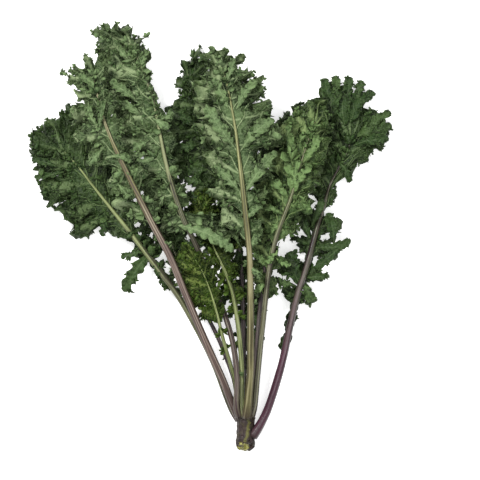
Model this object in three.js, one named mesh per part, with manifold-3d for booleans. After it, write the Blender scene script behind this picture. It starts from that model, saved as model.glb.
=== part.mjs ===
// A bunch of purple-stalked kale, cut off just below its crown and laid down, fanned out.
// Every leaf is a stalk that runs on as the midrib, and a lobed, waved blade under it.
// Millimetres, +Z up, the leaves pointing along +Y, the surface it lies on at z = 0.

import * as THREE from 'three';
import Module from 'manifold-3d';
import { mergeVertices } from 'three/addons/utils/BufferGeometryUtils.js';

const wasm = await Module();
wasm.setup();

// Driving dimensions.
const bladeThickness = 1.3; // measured straight up; a steep fold is thinner across
const ribGap = 0.65; // between a midrib's underside and the blade under it
const touchGap = 0.35; // between stalks that press on each other or on the crown
const wingWidth = 1.6; // green edge that runs down a stalk between its leaflets
const waveHeight = 5.2; // crests of a blade's edge over its middle
const twistHeight = 3.4; // one edge of a lobe over the other
const cupHeight = 2.0; // rise of a blade between its midrib and its edge
const liftSpread = 3.0; // how far one lobe's end stands above or below the next
const rufflesLimit = 8.2; // nothing on a blade strays further than this from its plane
const sinusShare = 0.68; // depth at which the cuts between lobes end
const clearance = 7; // distance from the midrib over which the waves build up
const leafletHalfWidth = 12; // half a lobe's root, along its stalk, at most
const stalkSides = 7;
const stalkStep = 15; // spacing of the rings along a stalk
const stalkEnd = 0.985; // share of the centreline that the stalk runs along

// The cut crown: a lathe profile of radius and distance from its cut end.
const crown = {
  start: [36.5, -224.9, 10.6],
  end: [37.5, -184, 12.5],
  profile: [
    [0, 1.2],
    [7.6, 0],
    [10.2, 2.2],
    [11.5, 5.2],
    [11.4, 9.6],
    [10, 13.5],
    [8.6, 17],
    [8.7, 27],
    [9.6, 35],
    [8.2, 40.5],
    [0, 42],
  ],
  sides: 14,
};

// Each leaf: its centreline from the crown to the end of the midrib, the stalk's radius
// at both ends, where the unbroken blade starts, and its pairs of lobes from the base up:
// [place along the centreline, tip of the left lobe x, y, tip of the right lobe x, y], and
// for a pair that lies over something else, how far the left and the right lobe rise.
// A leaf on top of the bunch, with nothing to press on it, has its waves' crests raised.
// The last entry is the end of the lobe that carries the midrib on.
const leaves = [
  {
    name: 'leaf_far_left',
    stalk: 'olive',
    green: 'deep',
    radius: [3.6, 1.5],
    bladeFrom: 0.63,
    droop: 7,
    route: [
      [30, -192, 9], [20, -175, 6], [2, -128, 12], [-29, -69, 19], [-61, -25, 20],
      [-93, 16, 16], [-121, 51, 13], [-138, 73, 11.5], [-154, 90, 10],
    ],
    lobes: [
      [0.49, -57, -48, -40, -44],
      [0.56, -88, -54, -58, -8],
      [0.65, -112, 8, -76, 22],
      [0.73, -142, 0, -84, 50],
      [0.8, -158, 20, -90, 84],
      [0.87, -177, 48, -104, 113],
      [0.935, -190, 82, -124, 134],
      [0.98, -190, 104, -146, 139],
    ],
    tip: [-168, 125],
  },
  {
    name: 'leaf_left_back',
    stalk: 'plum',
    green: 'deep',
    radius: [2.7, 1.2],
    bladeFrom: 0.68,
    droop: 3,
    route: [
      [33, -186, 9], [29.5, -175, 6.5], [24, -147, 7], [9, -108, 8], [-7, -76, 10],
      [-23, -45, 14], [-38, -14, 16], [-50, 17, 15], [-57, 40, 13],
    ],
    lobes: [
      [0.67, -46, -30, -8, -26],
      [0.79, -60, 8, -20, 6],
      [0.89, -71, 28, -30, 36],
      [0.96, -74, 54, -38, 58],
    ],
    tip: [-60, 70],
  },
  {
    name: 'leaf_centre_back',
    stalk: 'plum',
    green: 'deep',
    radius: [2.7, 1.2],
    bladeFrom: 0.64,
    droop: 3.5,
    route: [
      [37, -186, 14], [36.5, -175, 13.5], [35, -139, 12], [35, -108, 11], [34, -66, 12],
      [32, -27, 13], [27, 5, 14], [19, 38, 15], [7, 74, 16], [-3, 106, 16],
      [-12, 134, 13], [-20, 158, 11], [-24, 173, 9],
    ],
    lobes: [
      [0.6, 2, 14, 38, 18],
      [0.68, -25, 46, 36, 50],
      [0.76, -48, 80, 30, 84],
      [0.83, -50, 108, 24, 114],
      [0.895, -37, 138, 15, 142],
      [0.945, -33, 164, 8, 166],
      [0.98, -28, 186, 0, 185],
    ],
    tip: [-15, 196],
  },
  {
    name: 'leaf_right_back',
    stalk: 'plum',
    green: 'deep',
    radius: [2.7, 1.2],
    bladeFrom: 0.62,
    droop: 3.5,
    route: [
      [42, -186, 12], [44, -175, 12], [47, -144, 11], [49, -108, 11], [53, -66, 12],
      [58, -27, 14], [64, 9, 16], [72, 38, 17], [79, 67, 16], [85, 92, 14], [90, 113, 12],
    ],
    lobes: [
      [0.6, 46, 2, 74, 8],
      [0.69, 44, 32, 88, 42],
      [0.78, 50, 62, 97, 70],
      [0.86, 58, 92, 99, 98],
      [0.93, 66, 120, 101, 122],
      [0.975, 78, 133, 101, 137],
    ],
    tip: [91, 141],
  },
  {
    name: 'leaf_far_right',
    stalk: 'purple',
    green: 'deep',
    radius: [4.6, 1.6],
    bladeFrom: 0.74,
    droop: 7,
    route: [
      [44, -209, 14], [53, -195, 15], [62, -175, 16], [75, -132, 18], [84, -90, 20],
      [92, -58, 21], [101, -30, 21], [111, 7, 20], [119, 33, 18], [125, 53, 15],
      [134, 71, 13], [144, 90, 11], [148, 106, 10],
    ],
    lobes: [
      [0.31, 71, -110, 86, -104],
      [0.38, 77, -86, 93, -80],
      [0.46, 77, -52, 107, -68],
      [0.54, 76, -28, 123, -40],
      [0.62, 94, -2, 142, -12],
      [0.69, 101, 25, 146, 10],
      [0.77, 104, 56, 134, 47],
      [0.83, 104, 84, 152, 72],
      [0.885, 104, 112, 177, 88],
      [0.93, 104, 141, 190, 116],
      [0.97, 122, 163, 172, 146],
    ],
    tip: [146, 164],
  },
  {
    name: 'leaf_tall_left',
    stalk: 'plum',
    green: 'pale',
    radius: [3.1, 1.3],
    bladeFrom: 0.62,
    droop: 2.5,
    route: [
      [30, -188, 20], [27.5, -175, 26], [28, -144, 29], [23, -108, 26], [12, -73, 20],
      [-4, -34, 18], [-15, -8, 28], [-27, 17, 40], [-37, 45, 43], [-45, 74, 43],
      [-52, 108, 43], [-59, 142, 43], [-67, 165, 42], [-76, 186, 40], [-83, 202, 38],
    ],
    lobes: [
      [0.53, -56, 12, 31, 2, 0, 6],
      [0.6, -70, 40, -22, 42],
      [0.67, -78, 66, -32, 74],
      [0.735, -92, 94, -37, 100],
      [0.8, -100, 122, -42, 124],
      [0.86, -106, 150, -51, 146],
      [0.915, -118, 176, -61, 168],
      [0.955, -122, 200, -66, 190],
      [0.985, -114, 219, -74, 210],
    ],
    tip: [-95, 225],
  },
  {
    name: 'leaf_young_left',
    stalk: 'lime',
    green: 'bright',
    radius: [2.5, 1.1],
    bladeFrom: 0.66,
    droop: 2,
    route: [
      [33, -186, 13], [30, -175, 13], [27, -160, 15], [25, -147, 17], [14, -108, 26],
      [6, -75, 34], [-2, -50, 39], [-10, -32, 42], [-16, -23, 43],
    ],
    lobes: [
      [0.62, -12, -76, 15, -72],
      [0.72, -27, -60, 13, -52],
      [0.81, -33, -42, 7, -36],
      [0.89, -35, -26, 1, -22],
      [0.96, -33, -14, -8, -13],
    ],
    tip: [-22, -9],
  },
  {
    name: 'leaf_young_centre',
    stalk: 'lime',
    green: 'bright',
    radius: [3.4, 1.3],
    bladeFrom: 0.68,
    droop: 2,
    route: [
      [35, -188, 21], [32.8, -175, 21.5], [33, -140, 23], [31, -108, 27], [26, -71, 32],
      [22, -53, 34], [15, -35, 34], [6, -16, 31], [-2, 2, 28], [-8, 17, 28], [-11, 28, 28],
    ],
    lobes: [
      [0.58, 19, -62, 36, -56],
      [0.68, 15, -36, 31, -34],
      [0.77, -4, -12, 27, -10],
      [0.85, -18, 8, 22, 12],
      [0.92, -24, 24, 12, 32],
      [0.97, -22, 38, 0, 44],
    ],
    tip: [-12, 47],
  },
  {
    name: 'leaf_right_front',
    stalk: 'olive',
    green: 'bright',
    radius: [3.1, 1.3],
    bladeFrom: 0.58,
    droop: 2.5,
    route: [
      [43, -188, 19], [46.5, -175, 20], [49, -149, 24], [53, -108, 30], [57, -71, 36],
      [61, -37, 40], [68, -4, 42], [75, 17, 43], [83, 38, 43], [90, 61, 43],
      [97, 85, 42], [104, 106, 40], [110, 121, 38],
    ],
    lobes: [
      [0.43, 46, -34, 71, -54],
      [0.52, 46, 0, 79, -14],
      [0.61, 48, 30, 92, 18],
      [0.7, 52, 60, 108, 40],
      [0.78, 62, 88, 118, 66],
      [0.86, 74, 114, 126, 92],
      [0.93, 88, 134, 130, 116],
      [0.975, 100, 145, 126, 135],
    ],
    tip: [115, 147],
  },
  {
    name: 'leaf_left_front',
    stalk: 'mauve',
    green: 'pale',
    radius: [4, 1.6],
    bladeFrom: 0.7,
    droop: 2,
    crest: 2.6,
    route: [
      [31, -191, 13], [22, -172, 17], [13, -149, 23], [-5, -108, 35], [-27, -55, 49],
      [-42, -19, 57], [-61, 17, 62], [-83, 61, 66], [-99, 95, 67], [-109, 121, 65],
      [-114, 140, 62], [-119, 158, 59], [-121, 171, 56],
    ],
    lobes: [
      [0.6, -95, 32, -56, 34],
      [0.69, -107, 58, -68, 72],
      [0.77, -122, 76, -82, 98],
      [0.84, -136, 98, -90, 120],
      [0.895, -143, 124, -96, 140],
      [0.94, -141, 143, -101, 161],
      [0.975, -151, 164, -104, 176],
    ],
    tip: [-125, 187],
  },
  {
    name: 'leaf_centre_front',
    stalk: 'straw',
    green: 'pale',
    radius: [4.3, 1.2],
    bladeFrom: 0.66,
    droop: 2.5,
    crest: 2.6,
    route: [
      [38, -189, 22], [39.5, -175, 26], [42, -139, 34], [42, -108, 42], [42, -62, 52],
      [41, -19, 58], [37, 22, 62], [32, 67, 64], [27, 106, 64], [21, 142, 62],
      [16, 163, 59], [11, 177, 56],
    ],
    lobes: [
      [0.53, 12, 26, 64, 14],
      [0.61, 2, 52, 62, 44],
      [0.69, -4, 82, 62, 74],
      [0.77, -11, 107, 76, 100],
      [0.84, -17, 133, 70, 127],
      [0.9, -18, 156, 57, 151],
      [0.95, -13, 176, 44, 170],
      [0.985, -3, 190, 28, 188],
    ],
    tip: [12, 196],
  },
];

const stalkColours = {
  olive: 0x8f9258,
  plum: 0x4e3a48,
  purple: 0x5e3449,
  lime: 0x7f9c4b,
  mauve: 0x8a7368,
  straw: 0xa09a66,
};
const bladeColours = { deep: 0x35552f, pale: 0x6f8f5f, bright: 0x4f7d2c };

const lerp = THREE.MathUtils.lerp;
const smoothstep = THREE.MathUtils.smoothstep;

function seededDraws(seed) {
  let state = seed;
  return () => {
    state = (state * 1664525 + 1013904223) % 4294967296;
    return state / 4294967296;
  };
}

function greenMaterial(green) {
  return new THREE.MeshStandardMaterial({
    color: bladeColours[green],
    roughness: 0.62,
    metalness: 0,
    name: `${green}_green`,
  });
}

function stalkMaterial(stalk) {
  return new THREE.MeshStandardMaterial({
    color: stalkColours[stalk],
    roughness: 0.48,
    metalness: 0,
    name: `${stalk}_stalk`,
  });
}

// Centreline of a leaf, with its length and its radius at any share of that length.
function centreline(leaf) {
  const points = leaf.route.map((p) => new THREE.Vector3(...p));
  const curve = new THREE.CatmullRomCurve3(points, false, 'catmullrom', 0.5);
  curve.arcLengthDivisions = 400;
  const length = curve.getLength();
  const [base, tip] = leaf.radius;
  return {
    length,
    at: (u) => curve.getPointAt(u),
    heading: (u) => {
      const t = curve.getTangentAt(u);
      return Math.atan2(t.y, t.x);
    },
    tangent: (u) => curve.getTangentAt(u),
    radius: (u) => lerp(base, tip, u) * (1 + 0.22 * (1 - smoothstep(u, 0, 0.07))),
  };
}

// The lobes of both sides, each with its heading and reach, worked out from its tip.
// The end of the blade is the last lobe, shared by both sides.
function lobesOf(leaf, line) {
  const draw = seededDraws(leaf.name.length * 7919 + leaf.lobes.length * 104729);
  const rows = [...leaf.lobes, [1, ...leaf.tip, ...leaf.tip]];
  return rows.map(([at, leftX, leftY, rightX, rightY, leftRise, rightRise], k) => {
    const root = line.at(at);
    const before = k > 0 ? at - rows[k - 1][0] : 1;
    const after = k < rows.length - 1 ? rows[k + 1][0] - at : 1;
    const lift = (draw() * 2 - 1) * liftSpread;
    const sway = (draw() * 2 - 1) * liftSpread;
    const lean = (x, y) => {
      const turned = Math.atan2(y - root.y, x - root.x) - line.heading(at);
      return Math.atan2(Math.sin(turned), Math.cos(turned));
    };
    return {
      at,
      half: Math.min(0.5 * before, 0.5 * after, leafletHalfWidth / line.length),
      reach: { left: Math.hypot(leftX - root.x, leftY - root.y), right: Math.hypot(rightX - root.x, rightY - root.y) },
      lean: { left: lean(leftX, leftY), right: lean(rightX, rightY) },
      lift: { left: lift, right: k === rows.length - 1 ? lift : sway },
      rise: { left: leftRise ?? 0, right: rightRise ?? 0 },
      wave: k % 2 === 0 ? 1 : -1,
    };
  });
}

// A value that runs straight from lobe to lobe.
function between(lobes, u, value) {
  if (u <= lobes[0].at) return value(lobes[0]);
  const next = lobes.findIndex((lobe) => lobe.at >= u - 1e-9);
  const a = lobes[next - 1];
  const b = lobes[next];
  return lerp(value(a), value(b), (u - a.at) / (b.at - a.at));
}

// A point of the blade's upper face: u along the midrib, side left or right,
// t from 0 on the midrib to 1 on the blade's edge.
function bladePoint(leaf, line, lobes, u, side, t) {
  const root = line.at(u);
  const radius = line.radius(u);
  let reach = radius + wingWidth;
  const body = smoothstep(u, leaf.bladeFrom - 0.03, leaf.bladeFrom + 0.05) * sinusShare;
  reach = Math.max(reach, body * between(lobes, u, (lobe) => lobe.reach[side]));
  let ruffle = 0;
  let rise = 0;
  for (const lobe of lobes) {
    const j = (u - lobe.at) / lobe.half;
    if (Math.abs(j) > 1 + 1e-9) continue;
    const outline = Math.pow(Math.max(0, 1 - Math.pow(Math.abs(j), 3)), 0.55);
    reach = Math.max(reach, lobe.reach[side] * outline);
    const full = Math.min(1, lobe.reach[side] / 22);
    ruffle += full * waveHeight * lobe.wave * Math.cos(2 * Math.PI * j) * outline ** 0.3;
    ruffle += full * twistHeight * Math.sin(Math.PI * j);
    ruffle += full * lobe.lift[side] * outline;
    rise += lobe.rise[side] * outline;
  }
  const lean = between(lobes, u, (lobe) => lobe.lean[side]);
  const heading = line.heading(u) + lean;
  const out = t * reach;
  const forward = out * Math.cos(lean);
  const level = line.at(Math.min(1, u + Math.max(0, forward) / line.length)).z;
  const beside = Math.max(out * Math.abs(Math.sin(lean)), u * line.length + forward - line.length);
  const clear = smoothstep(beside, radius, radius + clearance);
  const open = smoothstep(reach, 6, 24);
  const shape =
    ruffle * Math.pow(t, 1.3) + open * (cupHeight * Math.sin(Math.PI * t) - leaf.droop * t * t);
  const crest = shape > 0 ? lerp(1, leaf.crest ?? 1, t) : 1;
  const ruffled = clear * crest * rufflesLimit * Math.tanh(shape / rufflesLimit);
  const rib = radius + ribGap;
  const top = lerp(root.z - rib, level - rib, Math.min(1, t * 1.5)) + ruffled + rise * t;
  return new THREE.Vector3(
    root.x + out * Math.cos(heading),
    root.y + out * Math.sin(heading),
    Math.max(bladeThickness, top),
  );
}

// Stations along the midrib: each lobe's two cuts, its middle, and between them.
function stationsOf(lobes) {
  const places = lobes.flatMap(({ at, half }) =>
    [-1, -0.5, 0, 0.5, 1].map((j) => at + j * half).filter((u) => u <= 1),
  );
  places.sort((a, b) => a - b);
  return places.filter((u, i) => i === 0 || u - places[i - 1] > 0.002);
}

// The blade as one closed sheet: a plane's grid bent into shape, its underside the same
// grid a thickness lower, and a rim between them. The two sides meet beyond the midrib.
function bladeGeometry(leaf, line) {
  const lobes = lobesOf(leaf, line);
  const stations = stationsOf(lobes);
  const shares = [-1, -0.66, -0.3, 0, 0.3, 0.66, 1];
  const rows = stations.length;
  const columns = shares.length;
  const grid = new THREE.PlaneGeometry(2, 1, columns - 1, rows - 1);
  const upper = [];
  stations.forEach((u, row) => {
    shares.forEach((share) => {
      const closing = row === rows - 1;
      const side = share < 0 || closing ? 'left' : 'right';
      upper.push(bladePoint(leaf, line, lobes, u, side, Math.abs(share)));
    });
  });
  const count = upper.length;
  const positions = [
    ...upper.flatMap((p) => [p.x, p.y, p.z]),
    ...upper.flatMap((p) => [p.x, p.y, p.z - bladeThickness]),
  ];
  const faces = Array.from(grid.index.array);
  const index = [];
  for (let i = 0; i < faces.length; i += 3) {
    const [a, b, c] = faces.slice(i, i + 3);
    index.push(a, c, b, a + count, b + count, c + count);
  }
  const rim = (a, b) => index.push(a, b, b + count, a, b + count, a + count);
  for (let column = 0; column < columns - 1; column++) rim(column + 1, column);
  for (let row = 0; row < rows - 1; row++) {
    rim(row * columns, (row + 1) * columns);
    rim((row + 2) * columns - 1, (row + 1) * columns - 1);
  }
  const geometry = new THREE.BufferGeometry();
  geometry.setAttribute('position', new THREE.Float32BufferAttribute(positions, 3));
  geometry.setIndex(index);
  return geometry;
}

// A closed tube along a leaf's centreline, as wide as the leaf says, grown by a margin.
function stalkGeometry(line, margin) {
  const rings = Math.round(line.length / stalkStep);
  const tube = new THREE.CylinderGeometry(1, 1, 1, stalkSides, rings);
  const place = tube.getAttribute('position');
  for (let i = 0; i < place.count; i++) {
    const u = stalkEnd * THREE.MathUtils.clamp(place.getY(i) + 0.5, 0, 1);
    const along = line.tangent(u);
    const across = new THREE.Vector3(along.y, -along.x, 0).normalize();
    const up = new THREE.Vector3().crossVectors(across, along);
    const radius = line.radius(u) + margin;
    const point = line.at(u);
    point.addScaledVector(across, place.getX(i) * radius);
    point.addScaledVector(up, place.getZ(i) * radius);
    place.setXYZ(i, point.x, point.y, point.z);
  }
  return tube;
}

function crownGeometry(margin) {
  const start = new THREE.Vector3(...crown.start);
  const axis = new THREE.Vector3(...crown.end).sub(start).normalize();
  const profile = crown.profile.map(([r, d]) => new THREE.Vector2(r > 0 ? r + margin : 0, d));
  const lathe = new THREE.LatheGeometry(profile, crown.sides, Math.PI / crown.sides);
  lathe.applyQuaternion(
    new THREE.Quaternion().setFromUnitVectors(new THREE.Vector3(0, 1, 0), axis),
  );
  lathe.translate(start.x, start.y, start.z);
  const place = lathe.getAttribute('position');
  for (let i = 0; i < place.count; i++) place.setZ(i, Math.max(-margin, place.getZ(i)));
  return lathe;
}

function solidOf(geometry) {
  const bare = new THREE.BufferGeometry();
  bare.setAttribute('position', geometry.getAttribute('position'));
  bare.setIndex(geometry.index);
  const merged = mergeVertices(bare, 1e-4);
  const kept = [];
  const faces = merged.index.array;
  for (let i = 0; i < faces.length; i += 3) {
    const [a, b, c] = faces.slice(i, i + 3);
    if (a !== b && b !== c && c !== a) kept.push(a, b, c);
  }
  return new wasm.Manifold(
    new wasm.Mesh({
      numProp: 3,
      vertProperties: new Float32Array(merged.getAttribute('position').array),
      triVerts: new Uint32Array(kept),
    }),
  );
}

// The largest piece of a solid, as a geometry.
function geometryOf(solid) {
  const pieces = solid.decompose();
  pieces.sort((a, b) => b.volume() - a.volume());
  const mesh = pieces[0].getMesh();
  const geometry = new THREE.BufferGeometry();
  geometry.setAttribute('position', new THREE.Float32BufferAttribute(mesh.vertProperties, 3));
  geometry.setIndex(new THREE.Uint32BufferAttribute(mesh.triVerts, 1));
  return geometry;
}

function named(name, geometry, material) {
  const mesh = new THREE.Mesh(geometry, material);
  mesh.name = name;
  return mesh;
}

const bunch = new THREE.Group();
const crownMaterial = new THREE.MeshStandardMaterial({
  color: 0x6b5142,
  roughness: 0.6,
  metalness: 0,
  name: 'crown',
});
bunch.add(named('crown', geometryOf(solidOf(crownGeometry(0))), crownMaterial));

// Each stalk gives way to the crown and to the stalks laid down before it.
const laidDown = [solidOf(crownGeometry(touchGap))];
for (const leaf of leaves) {
  const line = centreline(leaf);
  let stalk = solidOf(stalkGeometry(line, 0));
  for (const other of laidDown) stalk = stalk.subtract(other);
  laidDown.push(solidOf(stalkGeometry(line, touchGap)));
  bunch.add(named(`${leaf.name}_stalk`, geometryOf(stalk), stalkMaterial(leaf.stalk)));
  const blade = solidOf(bladeGeometry(leaf, line));
  bunch.add(named(`${leaf.name}_blade`, geometryOf(blade), greenMaterial(leaf.green)));
}

export default bunch;
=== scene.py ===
import math

import bmesh
import bpy
import numpy as np
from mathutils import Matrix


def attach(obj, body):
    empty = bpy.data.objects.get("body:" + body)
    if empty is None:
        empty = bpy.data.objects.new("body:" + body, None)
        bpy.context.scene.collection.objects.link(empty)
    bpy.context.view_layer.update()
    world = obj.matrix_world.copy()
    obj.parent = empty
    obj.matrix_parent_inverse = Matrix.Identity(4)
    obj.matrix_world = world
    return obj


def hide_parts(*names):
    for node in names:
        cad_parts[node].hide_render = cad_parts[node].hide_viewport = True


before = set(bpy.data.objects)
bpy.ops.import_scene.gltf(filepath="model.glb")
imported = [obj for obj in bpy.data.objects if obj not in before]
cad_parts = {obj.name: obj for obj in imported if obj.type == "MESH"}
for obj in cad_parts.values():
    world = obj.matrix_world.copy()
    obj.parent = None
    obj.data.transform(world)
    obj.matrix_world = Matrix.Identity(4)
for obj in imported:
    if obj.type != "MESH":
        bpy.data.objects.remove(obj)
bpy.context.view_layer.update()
mm = 0.001

# The camera looks straight down on the bunch from high above, so that nothing in it looks tilted.
viewSettings = {
    "aimX": 31.2, "aimY": -3.6, "height": 3000, "frameWidth": 499, "frameHeight": 30,
    "sensorWidth": 36, "farthest": 20,
}


def putInScene(name, data):
    thing = bpy.data.objects.new(name, data)
    bpy.context.collection.objects.link(thing)
    return thing


def makeCamera(settings):
    cameraData = bpy.data.cameras.new("camera")
    camera = putInScene("camera", cameraData)
    camera.location = (settings["aimX"] * mm, settings["aimY"] * mm, settings["height"] * mm)
    distance = settings["height"] - settings["frameHeight"]
    cameraData.sensor_width = settings["sensorWidth"]
    cameraData.lens = cameraData.sensor_width * distance / settings["frameWidth"]
    cameraData.clip_end = settings["farthest"]
    bpy.context.scene.camera = camera


def makeLight(name, settings):
    lightData = bpy.data.lights.new(name, "AREA")
    lightData.shape = "DISK"
    lightData.size = settings["size"]
    lightData.energy = settings["power"]
    lightData.color = settings["colour"]
    light = putInScene(name, lightData)
    light.location = settings["place"]
    towards = -light.location
    light.rotation_euler = towards.to_track_quat("-Z", "Y").to_euler()


# The floor glows a little, so that it stays white round the bunch as in the photo.
studio = {
    "fill": 0.4, "fillColour": (1, 1, 1, 1), "floorColour": (0.93, 0.93, 0.93, 1), "floorGlow": 0.6,
    "floorSize": 4, "floorRoughness": 0.9, "floorShine": 0.1,
    "keyLight": {"place": (-0.9, 1.0, 2.1), "size": 0.5, "power": 56, "colour": (1.0, 0.99, 0.97)},
    "topLight": {"place": (0.5, -0.3, 2.4), "size": 1.6, "power": 22, "colour": (1.0, 1.0, 1.0)},
}


def makeStudio(settings):
    world = bpy.data.worlds.new("studio")
    bpy.context.scene.world = world
    world.use_nodes = True
    backdrop = world.node_tree.nodes["Background"]
    backdrop.inputs["Color"].default_value = settings["fillColour"]
    backdrop.inputs["Strength"].default_value = settings["fill"]
    for name in ("keyLight", "topLight"):
        makeLight(name, settings[name])
    bm = bmesh.new()
    bmesh.ops.create_grid(bm, x_segments=1, y_segments=1, size=settings["floorSize"])
    floorMesh = bpy.data.meshes.new("floor")
    bm.to_mesh(floorMesh)
    bm.free()
    floor = putInScene("floor", floorMesh)
    finish = bpy.data.materials.new("paperFloor")
    finish.use_nodes = True
    shader = finish.node_tree.nodes["Principled BSDF"]
    shader.inputs["Base Color"].default_value = settings["floorColour"]
    shader.inputs["Roughness"].default_value = settings["floorRoughness"]
    shader.inputs["Specular IOR Level"].default_value = settings["floorShine"]
    shader.inputs["Emission Color"].default_value = settings["floorColour"]
    shader.inputs["Emission Strength"].default_value = settings["floorGlow"]
    floorMesh.materials.append(finish)


makeCamera(viewSettings)
makeStudio(studio)
bpy.context.scene.view_settings.view_transform = "Standard"
print("camera and studio ready")


# Smooth random values between -1 and 1, from a lattice of draws that repeats.
latticeSize = 32


def makeLattice(seed):
    return np.random.default_rng(seed).uniform(-1, 1, (latticeSize, latticeSize, latticeSize))


def smoothNoise(lattice, x, y, w):
    cells = [np.floor(axis).astype(int) for axis in (x, y, w)]
    fractions = [axis - cell for axis, cell in zip((x, y, w), cells)]
    fx, fy, fw = [f * f * f * (f * (f * 6 - 15) + 10) for f in fractions]
    total = 0
    for cornerX, shareX in ((0, 1 - fx), (1, fx)):
        for cornerY, shareY in ((0, 1 - fy), (1, fy)):
            for cornerW, shareW in ((0, 1 - fw), (1, fw)):
                corner = (cells[0] + cornerX, cells[1] + cornerY, cells[2] + cornerW)
                draw = lattice[tuple(cell % latticeSize for cell in corner)]
                total = total + draw * shareX * shareY * shareW
    return total


def ramp(value, low, high):
    share = np.clip((value - low) / (high - low), 0, 1)
    return share * share * (3 - 2 * share)


# A round bar of one unit's height, cut into rings, whose points are then moved to their places.
def makeBar(name, settings):
    endRings = settings["endRings"]
    bm = bmesh.new()
    bmesh.ops.create_cone(
        bm, cap_ends=True, cap_tris=endRings > 0, segments=settings["sides"], radius1=1, radius2=1, depth=1
    )
    lengthwise = [edge for edge in bm.edges if abs(edge.verts[0].co.z - edge.verts[1].co.z) > 0.5]
    bmesh.ops.subdivide_edges(bm, edges=lengthwise, cuts=settings["rings"])
    if endRings:
        spokes = [edge for edge in bm.edges if any(vert.co.xy.length < 0.01 for vert in edge.verts)]
        bmesh.ops.subdivide_edges(bm, edges=spokes, cuts=endRings, use_grid_fill=True)
        bmesh.ops.triangulate(bm, faces=[face for face in bm.faces if len(face.verts) > 4])
    mesh = bpy.data.meshes.new(name)
    bm.to_mesh(mesh)
    bm.free()
    flat = np.zeros(len(mesh.vertices) * 3, np.float32)
    mesh.vertices.foreach_get("co", flat)
    return mesh, flat.reshape(-1, 3).astype(float)


# Moves a mesh's points and keeps four values for its material on each of them.
def setPoints(mesh, places, tones):
    mesh.vertices.foreach_set("co", places.astype(np.float32).ravel())
    tone = mesh.color_attributes.new("tone", "FLOAT_COLOR", "POINT")
    tone.data.foreach_set("color", tones.astype(np.float32).ravel())


def finishPiece(piece, node):
    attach(piece, "root")
    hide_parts(node)


# The centreline of a leaf through its knots, from the crown to the end of its midrib.
stepsPerKnot = 40


def makeRoute(knots):
    knots = np.array(knots, float) * mm
    padded = np.vstack([2 * knots[0] - knots[1], knots, 2 * knots[-1] - knots[-2]])
    share = np.linspace(0, 1, stepsPerKnot, endpoint=False)[:, None]
    spans = []
    for before, start, end, after in zip(padded, padded[1:], padded[2:], padded[3:]):
        leaving, arriving = (end - before) / 2, (after - start) / 2
        spans.append(
            (2 * share**3 - 3 * share**2 + 1) * start
            + (share**3 - 2 * share**2 + share) * leaving
            + (3 * share**2 - 2 * share**3) * end
            + (share**3 - share**2) * arriving
        )
    points = np.vstack(spans + [knots[-1:]])
    reached = np.concatenate([[0], np.cumsum(np.linalg.norm(np.diff(points, axis=0), axis=1))])
    length = reached[-1]
    turn = np.gradient(points, reached, axis=0)
    heading = np.unwrap(np.arctan2(turn[:, 1], turn[:, 0]))
    return {"points": points, "share": reached / length, "length": length, "heading": heading}


def onRoute(route, u):
    return np.stack([np.interp(u, route["share"], route["points"][:, i]) for i in range(3)], -1)


# A stalk narrows evenly from its base to its tip, and is wider still where it leaves the crown.
def stalkRadius(plan, u):
    base, tip = plan["radius"]
    return (base + (tip - base) * u) * (1 + 0.22 * (1 - ramp(u, 0, 0.07))) * mm


# How much of that radius is left where a midrib thins out among the frills.
def thinning(u):
    return 1 - 0.62 * ramp(u, 0.55, 0.97)


# One side of a blade: its lobes' places, reaches and leans, worked out from their tips.
def lobesOf(plan, route, side):
    rows = [list(row[:5]) for row in plan["lobes"]] + [[1] + plan["tip"] + plan["tip"]]
    rises = [(row + [0, 0])[5 + side] if len(row) > 5 else 0 for row in plan["lobes"]] + [0]
    place = np.array([row[0] for row in rows], float)
    tips = np.array([row[1 + 2 * side:3 + 2 * side] for row in rows], float) * mm
    roots = onRoute(route, place)
    away = tips - roots[:, :2]
    lean = np.arctan2(away[:, 1], away[:, 0]) - np.interp(place, route["share"], route["heading"])
    lean = np.arctan2(np.sin(lean), np.cos(lean))
    gaps = np.diff(place)
    before = np.concatenate([[1], gaps])
    after = np.concatenate([gaps, [1]])
    widest = plan.get("lobeHalf", 12) * mm / route["length"]
    half = np.minimum(np.minimum(before, after) / 2, widest)
    return {
        "place": place, "reach": np.hypot(away[:, 0], away[:, 1]), "lean": lean, "half": half,
        "rise": np.array(rises, float) * mm,
    }


# How far the edge stands out from the midrib, before its teeth, and where in its lobe it is.
def coarseEdge(plan, lobes, u):
    wing = stalkRadius(plan, u) + 1.6 * mm
    body = ramp(u, plan["bladeFrom"] - 0.03, plan["bladeFrom"] + 0.05) * plan["sinus"]
    reach = np.maximum(wing, body * np.interp(u, lobes["place"], lobes["reach"]))
    inLobe = (u[:, None] - lobes["place"]) / lobes["half"]
    outline = np.clip(1 - np.abs(inLobe) ** 2.2, 0, 1) ** 0.6
    reach = np.maximum(reach, (lobes["reach"] * outline).max(axis=1))
    nearest = np.abs(inLobe).argmin(axis=1)
    across = np.clip(inLobe[np.arange(len(u)), nearest], -1, 1)
    return reach, nearest, across, outline


def edgePath(route, lobes, reach, u):
    root = onRoute(route, u)
    lean = np.interp(u, lobes["place"], lobes["lean"])
    angle = np.interp(u, route["share"], route["heading"]) + lean
    return root[:, 0] + reach * np.cos(angle), root[:, 1] + reach * np.sin(angle)


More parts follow.
